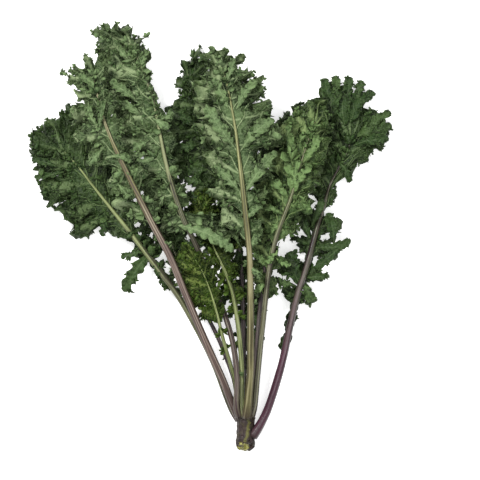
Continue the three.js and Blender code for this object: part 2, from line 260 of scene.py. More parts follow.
# Points spread evenly along both edges of a blade, as shares of its centreline.
def spreadRows(plan, route, sides, count):
    start = min(sides[0]["place"][0] - sides[0]["half"][0], 1)
    u = np.linspace(start, 1, 3000)
    walked = (u - start) * route["length"] * 0.6
    for lobes in sides:
        reach = coarseEdge(plan, lobes, u)[0]
        x, y = edgePath(route, lobes, reach, u)
        steps = np.hypot(np.diff(x), np.diff(y))
        walked = walked + np.concatenate([[0], np.cumsum(steps)]) / 2
    return np.interp(np.linspace(0, walked[-1], count + 1), walked, u)


# A notch pattern: 0 on a tooth's end, 1 in the cut between two teeth.
def notches(distance, spacing, sharpness):
    return 1 - np.abs(np.sin(np.pi * distance / spacing)) ** sharpness


# What all blades share, in millimetres: their thickness, how far they hang under the stalk's middle,
# how close they come to the floor and how gently, and how far each lobe bends, twists, folds and cups.
bladeShape = {
    "thickness": 0.5, "underStalk": 0.65, "overFloor": 0.7, "floorSoftness": 1.2, "lobeBend": 3.5,
    "lobeTwist": 3.2, "twistSpread": 1.5, "lobeFold": 3.0, "cup": 2, "veinSpacing": 8.5,
}


# How far an edge reaches once its fingers and teeth are cut into it.
def cutEdge(frill, route, lobes, u, reach, full, offset, lattice):
    x, y = edgePath(route, lobes, reach, u)
    walked = np.concatenate([[0], np.cumsum(np.hypot(np.diff(x), np.diff(y)))])
    jitter = smoothNoise(lattice, walked / (26 * mm) + offset, 0 * u + 3.3, 0 * u) * 7 * mm
    cuts = notches(walked + jitter, frill["fingerWidth"] * mm, 0.42)
    teeth = notches(walked + jitter * 0.6, frill["toothWidth"] * mm, 0.7)
    closing = ramp(1 - u, 0, 0.0008)
    reach = reach - frill["fingerDepth"] * mm * cuts * full * closing
    return reach - frill["toothDepth"] * mm * teeth * full * closing


# The lobe's own pose: it twists, lifts and folds along its vein.
def lobePose(plan, side, lobes, u, t, nearest, across):
    draws = np.random.default_rng(plan["seed"] * 100 + side).uniform(-1, 1, (3, len(lobes["place"])))
    draws[:, -1] = 0
    wide = np.clip(lobes["reach"][nearest] / (22 * mm), 0, 1)
    bend = np.interp(u, lobes["place"], draws[0]) * bladeShape["lobeBend"] * mm
    twist = bladeShape["lobeTwist"] + bladeShape["twistSpread"] * draws[1][nearest]
    twist = np.sin(np.pi * across) * twist * mm * wide
    fold = (np.abs(across) - 0.4) * draws[2][nearest] * bladeShape["lobeFold"] * mm * wide
    return (bend + fold)[:, None] * t[None, :] ** 2 + twist[:, None] * t[None, :] ** 1.5


# Veins: one along each lobe, and thinner ones that leave it at a slant.
def bladeVeins(out, sideways, reach, full, wander):
    taper = np.clip(1 - out / np.maximum(reach[:, None], 1e-6), 0.15, 1)
    mainVein = np.exp(-((sideways / ((0.35 + 0.75 * taper) * mm)) ** 2)) * full[:, None]
    chevron = (out - sideways * 1.3) / (bladeShape["veinSpacing"] * mm) + 0.35 * wander
    offLine = np.abs(chevron - np.round(chevron)) * bladeShape["veinSpacing"] * 0.6
    sideVein = np.exp(-((offLine / (0.28 + 0.3 * taper)) ** 2)) * 0.6 * full[:, None]
    sideVein = sideVein * ramp(out, 3 * mm, 9 * mm)
    return np.maximum(mainVein, sideVein)


def bladeSide(plan, route, side, lobes, u, t, lattices):
    reach, nearest, across, outline = coarseEdge(plan, lobes, u)
    sign = -1 if side == 0 else 1
    frill = plan["frill"]
    offset = plan["seed"] * 13.7 + side * 41.3
    full = np.clip(reach / (26 * mm), 0, 1)
    reach = cutEdge(frill, route, lobes, u, reach, full, offset, lattices[0])

    lean = np.interp(u, lobes["place"], lobes["lean"])
    heading = np.interp(u, route["share"], route["heading"])
    out = t[None, :] * reach[:, None]
    spread = plan["splay"] * np.sin(np.pi * across) * sign * full
    angle = (heading + lean)[:, None] + spread[:, None] * t[None, :]
    root = onRoute(route, u)
    x = root[:, 0, None] + out * np.cos(angle)
    y = root[:, 1, None] + out * np.sin(angle)
    along = (u * route["length"])[:, None] + 0 * out

    radius = stalkRadius(plan, u)[:, None]
    forward = out * np.cos(lean)[:, None]
    ahead = np.clip(u[:, None] + np.maximum(0, forward) / route["length"], 0, 1)
    level = np.interp(ahead, route["share"], route["points"][:, 2])
    under = radius + bladeShape["underStalk"] * mm
    flat = root[:, 2, None] - under
    settled = flat + (level - root[:, 2, None]) * np.clip(t * 1.5, 0, 1)[None, :]
    pose = lobePose(plan, side, lobes, u, t, nearest, across)

    # Crests and folds that grow towards the edge, drawn from smooth noise in the leaf's own space.
    big, small, fine = frill["big"] * mm, frill["small"] * mm, frill["fine"] * mm
    outer = ramp(t, 0.18, 1.0)[None, :] * full[:, None]
    outermost = ramp(t, 0.45, 1.0)[None, :] * full[:, None]

    def noiseAt(scale, layer):
        return smoothNoise(
            lattices[layer], x / scale + offset, y / scale + layer * 7.7, along * 0.55 / scale + side * 9.1
        )

    wave = noiseAt(big, 0) * frill["bigHeight"] * mm * outer
    wave = wave + noiseAt(small, 1) * frill["smallHeight"] * mm * (0.25 * outer + 0.75 * outermost)
    crumple = (1 - 2 * np.abs(noiseAt(fine, 2))) * frill["fineHeight"] * mm
    sway = frill["sway"] * mm
    driftX = noiseAt(big, 1) * sway * outer + noiseAt(small, 2) * sway * 0.5 * outermost
    driftY = noiseAt(big, 2) * sway * outer + noiseAt(small, 0) * sway * 0.5 * outermost

    sideways = (u - lobes["place"][nearest])[:, None] * route["length"] * np.abs(np.sin(lean))[:, None]
    sideways = np.abs(sideways + spread[:, None] * out * 0.6)
    vein = bladeVeins(out, sideways, reach, full, noiseAt(14 * mm, 2))
    raised = vein * frill["veinHeight"] * mm * ramp(out, 1.5 * mm, 6 * mm)

    beyond = (u * route["length"])[:, None] + forward - route["length"]
    beside = np.maximum(out * np.abs(np.sin(lean))[:, None], beyond)
    clear = ramp(beside, radius, radius + 4 * mm)
    openness = ramp(reach, 6 * mm, 24 * mm)[:, None]
    cup = bladeShape["cup"] * mm * np.sin(np.pi * t)[None, :]
    cup = openness * (cup - plan["droop"] * mm * t[None, :] ** 2)
    rise = (lobes["rise"] * outline).max(axis=1)[:, None] * t[None, :]
    limit = frill["limit"] * mm
    shape = limit * np.tanh((pose + wave + cup) / limit)
    z = settled + clear * (shape + crumple * (1 - vein)) + raised * clear + rise
    x = x + driftX * clear
    y = y + driftY * clear

    # Above the floor, and pressed gently flat where it would go through it.
    lowest = bladeShape["overFloor"] * mm
    overFloor = z - lowest
    z = lowest + 0.5 * (overFloor + np.sqrt(overFloor**2 + (bladeShape["floorSoftness"] * mm) ** 2))

    # Painted light and shade: higher crests are painted lighter and lower folds darker, and the sheet is
    # painted darker towards its edge, where frills stand over it.
    paintedLight = np.clip(0.5 + (shape - 0.5 * pose) / (13 * mm), 0, 1)
    paintedLight = paintedLight * (1 - 0.6 * ramp(t, 0.15, 0.7))[None, :]
    edge = ramp(t, 0.7, 1.0)[None, :] * full[:, None] + 0 * out
    patch = 0.5 + 0.5 * noiseAt(22 * mm, 1)
    tone = np.stack([np.clip(vein, 0, 1), edge, paintedLight, patch], -1)
    return np.stack([x, y, z], -1), tone


# A place on a blade's sheet, by its row and its column.
def onSheet(sheet, row, column):
    row = np.clip(row, 0, sheet.shape[0] - 1.001)
    column = np.clip(column, 0, sheet.shape[1] - 1.001)
    lowRow, lowColumn = row.astype(int), column.astype(int)
    shareRow, shareColumn = (row - lowRow)[..., None], (column - lowColumn)[..., None]
    below = sheet[lowRow, lowColumn] * (1 - shareColumn) + sheet[lowRow, lowColumn + 1] * shareColumn
    above = sheet[lowRow + 1, lowColumn] * (1 - shareColumn) + sheet[lowRow + 1, lowColumn + 1] * shareColumn
    return below * (1 - shareRow) + above * shareRow


# The large feathery lobes that lie over a blade, cut along both sides, each with its own vein.
leafletShape = {
    "columns": 8, "rows": 20, "lobeLength": 8, "cut": 0.5, "teeth": 0.18, "sweep": 0.7, "arch": 0.12,
    "fold": 0.2, "ruffle": 0.5, "stand": 3, "bow": 0.1, "shade": 0.35, "frillRows": (7, 12, 17),
    "coveredRows": (4, -3), "clearShare": 0.3,
}


def leafletShapes(plan, sheet, draws, settings):
    rows = np.array(plan.get("leaflets", []), float).reshape(-1, 5) * mm
    flat = sheet.reshape(-1, 3)
    s = np.linspace(-1, 1, settings["columns"] + 1)[None, :]
    s = np.sign(s) * np.abs(s) ** 1.5
    t = np.linspace(0, 1, settings["rows"] + 1)[:, None]
    cutDepth = plan.get("lobeCut", settings["cut"])
    places, tones = [], []
    for rootX, rootY, tipX, tipY, width in rows:
        levels = [
            np.sort(flat[np.argsort(np.hypot(flat[:, 0] - x, flat[:, 1] - y))[:12], 2])[-3]
            for x, y in ((rootX, rootY), (tipX, tipY))
        ]
        phase, bow, tilt, shade = draws.uniform(-1, 1, 4)
        length = math.hypot(tipX - rootX, tipY - rootY)
        aheadX, aheadY = (tipX - rootX) / length, (tipY - rootY) / length
        lobe = t * length / (settings["lobeLength"] * mm) + phase + 0.45 * (s > 0)
        lobe = lobe + 0.22 * np.sin(2.1 * lobe + 9 * bow) * (1 + 0.6 * (s > 0))
        notch = np.abs(np.cos(np.pi * lobe)) ** 1.3 * (0.8 + 0.45 * np.sin(2.9 * lobe + 7 * tilt))
        teeth = np.abs(np.cos(2.7 * np.pi * lobe + 3 * phase))
        profile = 1.12 * t**0.45 * np.clip(1 - t**3.2, 0, 1) ** 0.55
        half = width / 2 * profile * (1 - cutDepth * notch) * (1 - settings["teeth"] * teeth)
        across = s * half
        along = t * length + settings["sweep"] * np.abs(across) * (1 - 0.5 * t)
        beside = across + bow * settings["bow"] * length * np.sin(np.pi * t)
        wave = np.sin(2 * np.pi * lobe + 2 * phase)
        height = settings["stand"] * mm * ramp(t, 0, 0.3) + settings["arch"] * length * np.sin(np.pi * t)
        height = height + settings["fold"] * np.abs(across) + 0.25 * tilt * across
        height = height + settings["ruffle"] * half * np.abs(s) ** 1.6 * wave
        x = rootX + aheadX * along + aheadY * beside
        y = rootY + aheadY * along - aheadX * beside
        z = np.maximum(levels[0] + (levels[1] - levels[0]) * t + height, 0.8 * mm)
        places.append(np.stack([x, y, z], -1))
        middle = 0.85 * np.exp(-((across / (0.6 * mm)) ** 2)) * (1 - 0.7 * t)
        side = 0.4 * (1 - notch) ** 5 * (1 - np.abs(s))
        # Painted light and shade: the crests of each lobe's ruffle are painted lighter and the cuts between
        # its fingers darker.
        paintedLight = 0.72 + 0.3 * wave * np.abs(s) - 0.3 * notch * np.abs(s)
        shade = plan.get("lobeShade", settings["shade"]) + 0.2 * shade
        channels = [np.maximum(middle, side), np.abs(s) ** 3, np.clip(paintedLight, 0, 1), shade]
        tones.append(np.stack([channel + 0 * x for channel in channels], -1))
    return places, tones


# The small curled frills that stand on a blade: where each one grows, which way and how it curls.
fanShape = {
    "fingers": (2.6, 4.8), "shortest": 0.6, "columns": 13, "rows": 4, "spread": 1.25, "fingerDepth": 0.5,
    "raggedness": 0.12, "ruffle": 0.24, "skew": 0.3, "smallest": 4.5, "tries": 6000, "mix": 0.5,
    "clusterSize": 17,
}


# Spots spread over a blade, clear of its midrib and its large lobes, and the size that fits there.
def chooseSpots(plan, sheet, leaflets, draws):
    fan = plan["fans"]
    rowCount, columnCount = sheet.shape[0] - 1, (sheet.shape[1] - 1) // 2
    tries = fanShape["tries"]
    slant = (sheet[1:, 1:] - sheet[:-1, :-1])[..., :2]
    counter = (sheet[1:, :-1] - sheet[:-1, 1:])[..., :2]
    area = np.abs(slant[..., 0] * counter[..., 1] - slant[..., 1] * counter[..., 0]).ravel()
    cell = draws.choice(len(area), tries, p=area / area.sum())
    row = cell // (2 * columnCount) + draws.uniform(0, 1, tries)
    column = cell % (2 * columnCount) + draws.uniform(0, 1, tries)
    place = onSheet(sheet, row, column)
    root = onSheet(sheet, row, 0 * column + columnCount)
    tip = onSheet(sheet, row, np.where(column > columnCount, 2 * columnCount, 0))
    fromRib = np.linalg.norm((place - root)[:, :2], axis=1)
    toEdge = np.linalg.norm((tip - place)[:, :2], axis=1)
    size = fan["size"] * mm * (0.6 + 1.1 * draws.uniform(0, 1, tries) ** 2.2)
    size = np.minimum(size, toEdge + fan["overhang"] * mm)
    height = row / rowCount
    nearest = fan["inner"] * mm * (1 - 0.75 * ramp(height, 0.6, 0.95))
    good = (fromRib > nearest) & (size > fanShape["smallest"] * mm)
    firstRow, lastRow = leafletShape["coveredRows"]
    for leaflet in leaflets:
        rib = leaflet[firstRow:lastRow, leaflet.shape[1] // 2, :2]
        away = np.linalg.norm(place[:, None, :2] - rib[None], axis=2).min(axis=1)
        widest = leaflet[leafletShape["rows"] // 2]
        good &= away > leafletShape["clearShare"] * np.linalg.norm(widest[-1] - widest[0])
    kept = []
    for i in np.flatnonzero(good):
        gaps = np.hypot(*(place[kept, :2] - place[i, :2]).T)
        room = fan["spacing"] * mm * (0.55 + 0.45 * size[i] / (fan["size"] * mm))
        if not len(kept) or gaps.min() > room:
            kept.append(i)
        if len(kept) == fan["most"]:
            break
    outward = (tip - root)[kept]
    angle = np.arctan2(outward[:, 1], outward[:, 0]) + draws.uniform(-0.9, 0.9, len(kept))
    return place[kept], size[kept], angle


# Frills that fold over the midrib where it is hidden, and the few that stand on the bare stalk.
def coverMidrib(plan, route, draws):
    fan = plan["fans"]
    hidden = np.arange(plan["hidden"], 0.985, fan["cover"] * mm / route["length"])
    swing = draws.uniform(0.3, 1.9, len(hidden)) * np.where(np.arange(len(hidden)) % 2, 1, -1)
    aside = np.where(np.arange(len(hidden)) % 2, -1.5, 1.5) * mm
    tufts = np.array(plan.get("tufts", []), float).reshape(-1, 3)
    along = np.concatenate([hidden, tufts[:, 0]])
    heading = np.interp(along, route["share"], route["heading"])
    swing = np.concatenate([swing, tufts[:, 1]])
    aside = np.concatenate([aside, np.sign(tufts[:, 1]) * stalkRadius(plan, tufts[:, 0]) * 0.8])
    foot = onRoute(route, along)
    foot[:, 0] -= np.sin(heading) * aside
    foot[:, 1] += np.cos(heading) * aside
    foot[:, 2] -= np.where(along < hidden.min(), 0.5 * mm, 1.5 * mm)
    hiddenSize = fan["size"] * mm * draws.uniform(0.55, 1.0, len(hidden))
    return foot, np.concatenate([hiddenSize, tufts[:, 2] * mm]), heading + swing


# Frills along both edges of the large lobes.
def edgeLeaflets(leaflets, draws):
    feet, sizes, angles = [], [], []
    for leaflet in leaflets:
        for row in leafletShape["frillRows"]:
            for column in (1, -2):
                outward = leaflet[row, column] - leaflet[row, leaflet.shape[1] // 2]
                onward = leaflet[row, column] - leaflet[row - 1, column]
                onward *= np.linalg.norm(outward) / max(np.linalg.norm(onward), 1e-6)
                turn = math.atan2(outward[1] + 0.8 * onward[1], outward[0] + 0.8 * onward[0])
                feet.append(leaflet[row, column])
                angles.append(turn + draws.uniform(-0.4, 0.4))
                sizes.append(np.linalg.norm(outward) * draws.uniform(0.5, 1.1) + 3 * mm)
    return np.array(feet).reshape(-1, 3), np.array(sizes), np.array(angles)


def placeFans(plan, route, sheet, leaflets, draws, lattice):
    size = plan["fans"]["size"] * mm
    groups = [
        chooseSpots(plan, sheet, leaflets, draws),
        coverMidrib(plan, route, draws),
        edgeLeaflets(leaflets, draws),
    ]
    roots, sizes, angles = [np.concatenate(values) for values in zip(*groups)]
    count = len(roots)
    onBlade, onRib = len(groups[0][0]), len(groups[1][0])
    large = ramp(sizes, size, 1.5 * size)
    lift = draws.uniform(0.1, 1.15, count) * (1 - 0.6 * large)
    lift[onBlade:] = draws.uniform(0.6, 1.2, count - onBlade)
    lift[onBlade + onRib:] -= 0.5
    wide = fanShape["clusterSize"] * mm
    cluster = smoothNoise(lattice, roots[:, 0] / wide, roots[:, 1] / wide, 0 * sizes + 2.2)
    mix = plan.get("mix", fanShape["mix"])
    return {
        "root": roots, "size": sizes, "angle": angles,
        "lift": lift, "curl": draws.uniform(0.8, 2.6, count) * (1 - 0.5 * large),
        "tilt": draws.uniform(-0.55, 0.55, count), "phase": draws.uniform(0, 6.28, count),
        "shade": mix + 0.75 * cluster + draws.uniform(-0.25, 0.25, count) - 0.2 * large,
        "large": large, "fingers": draws.uniform(*fanShape["fingers"], count),
        "shift": draws.uniform(0, 1, count), "skew": draws.uniform(-1, 1, count) * fanShape["skew"],
        "lengths": draws.uniform(fanShape["shortest"], 1.1, (count, 8)),
        "ragged": draws.uniform(-1, 1, (count, fanShape["columns"] + 1)),
    }


def fanShapes(fans, settings):
    each = {key: value[:, None, None] for key, value in fans.items() if value.ndim == 1}
    s = np.linspace(-1, 1, settings["columns"] + 1)[None, None, :]
    t = np.linspace(0, 1, settings["rows"] + 1)[None, :, None]
    finger = (s + 1) / 2 * each["fingers"] + each["shift"] + 0.2 * np.sin(np.pi * s + each["phase"])
    notch = np.abs(np.cos(np.pi * finger)) ** 1.2
    which = np.clip(finger[:, 0].astype(int) + 1, 0, 7)
    length = np.take_along_axis(fans["lengths"], which, axis=1)[:, None, :]
    reach = each["size"] * (1 - 0.22 * s * s) * (1 + each["skew"] * s) * length
    ragged = 1 + settings["raggedness"] * fans["ragged"][:, None, :]
    reach = reach * (1 - settings["fingerDepth"] * notch) * ragged
    bow = each["lift"] - each["curl"] * t
    ahead = reach * (np.sin(each["lift"]) - np.sin(bow)) / each["curl"]
    height = reach * (np.cos(bow) - np.cos(each["lift"])) / each["curl"]
    turn = -settings["spread"] * s + 0.14 * np.sin(2 * np.pi * finger) * t
    ruffle = np.sin(np.pi * finger + each["phase"])
    crease = (0.5 - notch) * 0.1
    height = height + each["size"] * t**1.3 * (settings["ruffle"] * ruffle + crease)
    height = height + each["tilt"] * ahead * np.sin(turn)
    angle = each["angle"] + turn + 0.18 * t * np.cos(np.pi * finger + 2 * each["phase"])
    x = fans["root"][:, 0, None, None] + ahead * np.cos(angle)
    y = fans["root"][:, 1, None, None] + ahead * np.sin(angle)
    z = fans["root"][:, 2, None, None] + 0.4 * mm + height
    z = np.maximum(z, 0.8 * mm)
    vein = np.where(notch < 0.12, 0.35 + 0.65 * each["large"], 0.0) * (1 - 0.85 * t)
    vein = vein + np.maximum(0, 0.7 - 4 * t)
    # Painted light and shade: each frill is painted dark at its root and in its notches and troughs, and
    # lighter towards its tips and on its crests.
    paintedLight = 0.12 + 0.75 * t**0.8 + 0.3 * ruffle * t - 0.22 * notch * t
    channels = [np.clip(vein, 0, 1), t**2, np.clip(paintedLight, 0, 1), each["shade"]]
    tone = np.stack([channel + 0 * x for channel in channels], -1)
    return np.stack([x, y, z], -1), tone


# Veins that leave the midrib at a slant and branch towards the edge, as low ridges on the sheet.
veinShape = {
    "columns": 2, "rows": 10, "slant": 34, "reach": 0.9, "branches": (0.2, 0.42, 0.64), "stand": 0.5,
    "width": 0.9, "branchWidth": 0.5, "shortestLobe": 20,
}


def veinPaths(route, sides, u, sheet, draws):
    columnCount = (sheet.shape[1] - 1) // 2
    share = np.linspace(0, 1, veinShape["rows"] + 1)
    rowsPerLength = (sheet.shape[0] - 1) / ((1 - u[0]) * route["length"])
    paths = []
    for side, lobes in enumerate(sides):
        sign = -1 if side == 0 else 1
        for place, reach in zip(lobes["place"][:-1], lobes["reach"][:-1]):
            if reach < veinShape["shortestLobe"] * mm:
                continue
            endRow = np.interp(place, u, np.arange(len(u)))
            startRow = np.interp(place - veinShape["slant"] * mm / route["length"], u, np.arange(len(u)))
            row = startRow + (endRow - startRow) * share**0.8
            farthest = veinShape["reach"]
            out = farthest * share
            paths.append((row, columnCount + sign * out * columnCount, veinShape["width"], reach))
            for branch, forth in zip(veinShape["branches"], (1, -1, 1)):
                bend = forth * draws.uniform(9, 15) * mm * rowsPerLength
                start = np.interp(branch, share, row)
                end = np.interp(branch + 0.25, share, row)
                branchRow = start + (end - start) * share + bend * share**1.2
                branchOut = farthest * branch + (farthest - farthest * branch) * 0.8 * share
                branchColumn = columnCount + sign * branchOut * columnCount
                paths.append((branchRow, branchColumn, veinShape["branchWidth"], reach * 0.6))
    return paths


def veinShapes(paths, sheet):
    places, tones = [], []
    share = np.linspace(0, 1, veinShape["rows"] + 1)[:, None]
    arch = np.linspace(-1, 1, veinShape["columns"] + 1)[None, :]
    for row, column, width, reach in paths:
        middle = onSheet(sheet, row, column)
        ahead = np.gradient(middle, axis=0)
        beside = np.stack([ahead[:, 1], -ahead[:, 0]], -1)
        beside /= np.maximum(np.linalg.norm(beside, axis=1), 1e-9)[:, None]
        half = width * mm * (1 - 0.75 * share) * np.clip(reach / (34 * mm), 0.5, 1)
        x = middle[:, 0, None] + beside[:, 0, None] * arch * half
        y = middle[:, 1, None] + beside[:, 1, None] * arch * half
        z = middle[:, 2, None] + (1 - arch**2) * half * 0.9 + veinShape["stand"] * mm
        places.append(np.stack([x, y, z], -1))
        channels = [1 - 0.45 * share, 0, 1, 0.5]
        tones.append(np.stack([channel + 0 * x for channel in channels], -1))
    return places, tones


# The height of the highest frills round each spot, so that what lies deep among them gets painted shade.
roofShape = {"cell": 1.6, "blur": 2, "depth": 11, "darkest": 0.13}


def makeRoof(everyPlace, settings):
    cell = settings["cell"] * mm
    lowest = everyPlace[:, :2].min(axis=0) - 4 * cell
    count = np.ceil((everyPlace[:, :2].max(axis=0) - lowest) / cell).astype(int) + 5
    height = np.zeros(count)
    spot = ((everyPlace[:, :2] - lowest) / cell).astype(int)
    np.maximum.at(height, (spot[:, 0], spot[:, 1]), everyPlace[:, 2])
    steps = [(i, j) for i in (-1, 0, 1) for j in (-1, 0, 1)]
    height = np.maximum.reduce([np.roll(height, step, (0, 1)) for step in steps])
    for _ in range(settings["blur"]):
        height = sum(np.roll(height, step, (0, 1)) for step in steps) / len(steps)
    return {"height": height, "lowest": lowest, "cell": cell}


def shadeByDepth(places, tones, roof, settings):
    spot = (places[:, :2] - roof["lowest"]) / roof["cell"] - 0.5
    over = onSheet(roof["height"][..., None], spot[:, 0], spot[:, 1])[:, 0]
    # Painted shade: a point is darkened by how far it lies below the frills round it.
    sunken = ramp(over - places[:, 2], 0.8 * mm, settings["depth"] * mm)
    tones[:, 2] *= 1 - (1 - settings["darkest"]) * sunken


# A blade's sheet, its frills, its lobes and its veins, each a grid of places and tones.
def shapeBlade(plan, route):
    lattices = [makeLattice(plan["seed"] * 10 + layer) for layer in range(3)]
    sides = [lobesOf(plan, route, 0), lobesOf(plan, route, 1)]
    rowCount, columnCount = plan["grid"]
    u = spreadRows(plan, route, sides, rowCount)
    t = 1 - (1 - np.linspace(0, 1, columnCount + 1)) ** 1.15
    left, leftTone = bladeSide(plan, route, 0, sides[0], u, t, lattices)
    right, rightTone = bladeSide(plan, route, 1, sides[1], u, t, lattices)
    right[-1], rightTone[-1] = left[-1], leftTone[-1]
    sheet = np.concatenate([left[:, ::-1], right[:, 1:]], axis=1)
    sheetTone = np.concatenate([leftTone[:, ::-1], rightTone[:, 1:]], axis=1)

    draws = np.random.default_rng(plan["seed"] * 7 + 3)
    lobes, lobeTones = leafletShapes(plan, sheet, draws, leafletShape)
    fans = placeFans(plan, route, sheet, lobes, draws, lattices[1])
    fanPlaces, fanTones = fanShapes(fans, fanShape)
    veins, veinTones = [], []
    if plan["faces"] != "young":
        veins, veinTones = veinShapes(veinPaths(route, sides, u, sheet, draws), sheet)
    return [sheet, *fanPlaces, *veins, *lobes], [sheetTone, *fanTones, *veinTones, *lobeTones]


def makeBlade(plan, shapes, tones, roof):
    bm = bmesh.new()
    for shape in shapes:
        bmesh.ops.create_grid(bm, x_segments=shape.shape[1] - 1, y_segments=shape.shape[0] - 1, size=1)
    mesh = bpy.data.meshes.new(plan["name"] + "_leaf")
    bm.to_mesh(mesh)
    bm.free()
    everyPlace = np.concatenate([shape.reshape(-1, 3) for shape in shapes])
    everyTone = np.concatenate([tone.reshape(-1, 4) for tone in tones])
    shadeByDepth(everyPlace, everyTone, roof, roofShape)
    setPoints(mesh, everyPlace, everyTone)
    mesh.shade_smooth()
    bm = bmesh.new()
    bm.from_mesh(mesh)
    rowEnd = shapes[0].shape[0] * shapes[0].shape[1]
    lastRow = [vert for vert in bm.verts if 0 < rowEnd - vert.index <= shapes[0].shape[1]]
    bmesh.ops.remove_doubles(bm, verts=lastRow, dist=1e-6)
    bmesh.ops.dissolve_degenerate(bm, edges=bm.edges[:], dist=1e-6)
    bm.to_mesh(mesh)
    bm.free()
    blade = putInScene(plan["name"] + "_leaf", mesh)
    for finish in bladeFinishes[plan["faces"]]:
        mesh.materials.append(finish)
    wall = blade.modifiers.new("wall", "SOLIDIFY")
    wall.thickness = bladeShape["thickness"] * mm
    wall.offset = -1
    wall.material_offset = 1
    wall.material_offset_rim = 0
    finishPiece(blade, plan["name"] + "_blade")
    return blade


# Colours of a blade's two sides: between the veins, painted shade in its folds, on its veins and at its
# edge.
greens = {
    "upperDeep": {
        "leaf": (0.029, 0.062, 0.018), "other": (0.080, 0.135, 0.045), "fold": (0.005, 0.011, 0.003),
        "vein": (0.12, 0.175, 0.070), "edge": (0.055, 0.102, 0.024), "rough": 0.46,
    },
    "underPale": {
        "leaf": (0.158, 0.243, 0.104), "other": (0.045, 0.090, 0.030), "fold": (0.006, 0.015, 0.004),
        "vein": (0.29, 0.37, 0.19), "edge": (0.140, 0.212, 0.074), "rough": 0.62,
    },
    "upperBright": {
        "leaf": (0.186, 0.302, 0.110), "other": (0.058, 0.112, 0.034), "fold": (0.007, 0.018, 0.004),
        "vein": (0.23, 0.31, 0.12), "edge": (0.095, 0.152, 0.045), "rough": 0.5,
    },
    "underDeep": {
        "leaf": (0.080, 0.125, 0.055), "other": (0.042, 0.076, 0.03), "fold": (0.013, 0.024, 0.010),
        "vein": (0.20, 0.26, 0.13), "edge": (0.085, 0.13, 0.05), "rough": 0.6,
    },
    "upperYoung": {
        "leaf": (0.047, 0.098, 0.012), "other": (0.020, 0.046, 0.006), "fold": (0.004, 0.010, 0.001),
        "vein": (0.16, 0.21, 0.05), "edge": (0.080, 0.135, 0.016), "rough": 0.5,
    },
}


def mixColours(tree, share, first, second):
    node = tree.nodes.new("ShaderNodeMix")
    node.data_type = "RGBA"
    for socket, value in ((node.inputs[0], share), (node.inputs[6], first), (node.inputs[7], second)):
        if isinstance(value, bpy.types.NodeSocket):
            tree.links.new(value, socket)
        else:
            socket.default_value = value if isinstance(value, float) else (*value, 1)
    return node.outputs[2]


def spanOf(tree, value, low, high, start=0.0, end=1.0):
    node = tree.nodes.new("ShaderNodeMapRange")
    node.inputs["From Min"].default_value = low
    node.inputs["From Max"].default_value = high
    node.inputs["To Min"].default_value = start
    node.inputs["To Max"].default_value = end
    tree.links.new(value, node.inputs["Value"])
    return node.outputs["Result"]


def noiseNode(tree, place, scale, detail):
    node = tree.nodes.new("ShaderNodeTexNoise")
    node.inputs["Scale"].default_value = scale
    node.inputs["Detail"].default_value = detail
    tree.links.new(place, node.inputs["Vector"])
    return node.outputs["Fac"]


# A new material, with its places and the four values kept on each point of its mesh.
def startFinish(name):
    finish = bpy.data.materials.new(name)
    finish.use_nodes = True
    tree = finish.node_tree
    place = tree.nodes.new("ShaderNodeTexCoord").outputs["Object"]
    tone = tree.nodes.new("ShaderNodeAttribute")
    tone.attribute_name = "tone"
    parts = tree.nodes.new("ShaderNodeSeparateColor")
    tree.links.new(tone.outputs["Color"], parts.inputs[0])
    return finish, tree, place, [*parts.outputs[:3], tone.outputs["Alpha"]]


def addBump(tree, height, strength, distance):
    bump = tree.nodes.new("ShaderNodeBump")
    bump.inputs["Strength"].default_value = strength
    bump.inputs["Distance"].default_value = distance
    tree.links.new(height, bump.inputs["Height"])
    return bump


def endFinish(tree, colour, roughness, shine, bump):
    shader = tree.nodes["Principled BSDF"]
    tree.links.new(colour, shader.inputs["Base Color"])
    tree.links.new(roughness, shader.inputs["Roughness"])
    shader.inputs["Specular IOR Level"].default_value = shine
    tree.links.new(bump.outputs["Normal"], shader.inputs["Normal"])


# The net of veinlets on a leaf, and how the leaf puffs up between them.
veinletLook = {"scale": 240, "width": 0.12, "strength": 0.25, "puff": 0.6, "puffHeight": 0.0009}


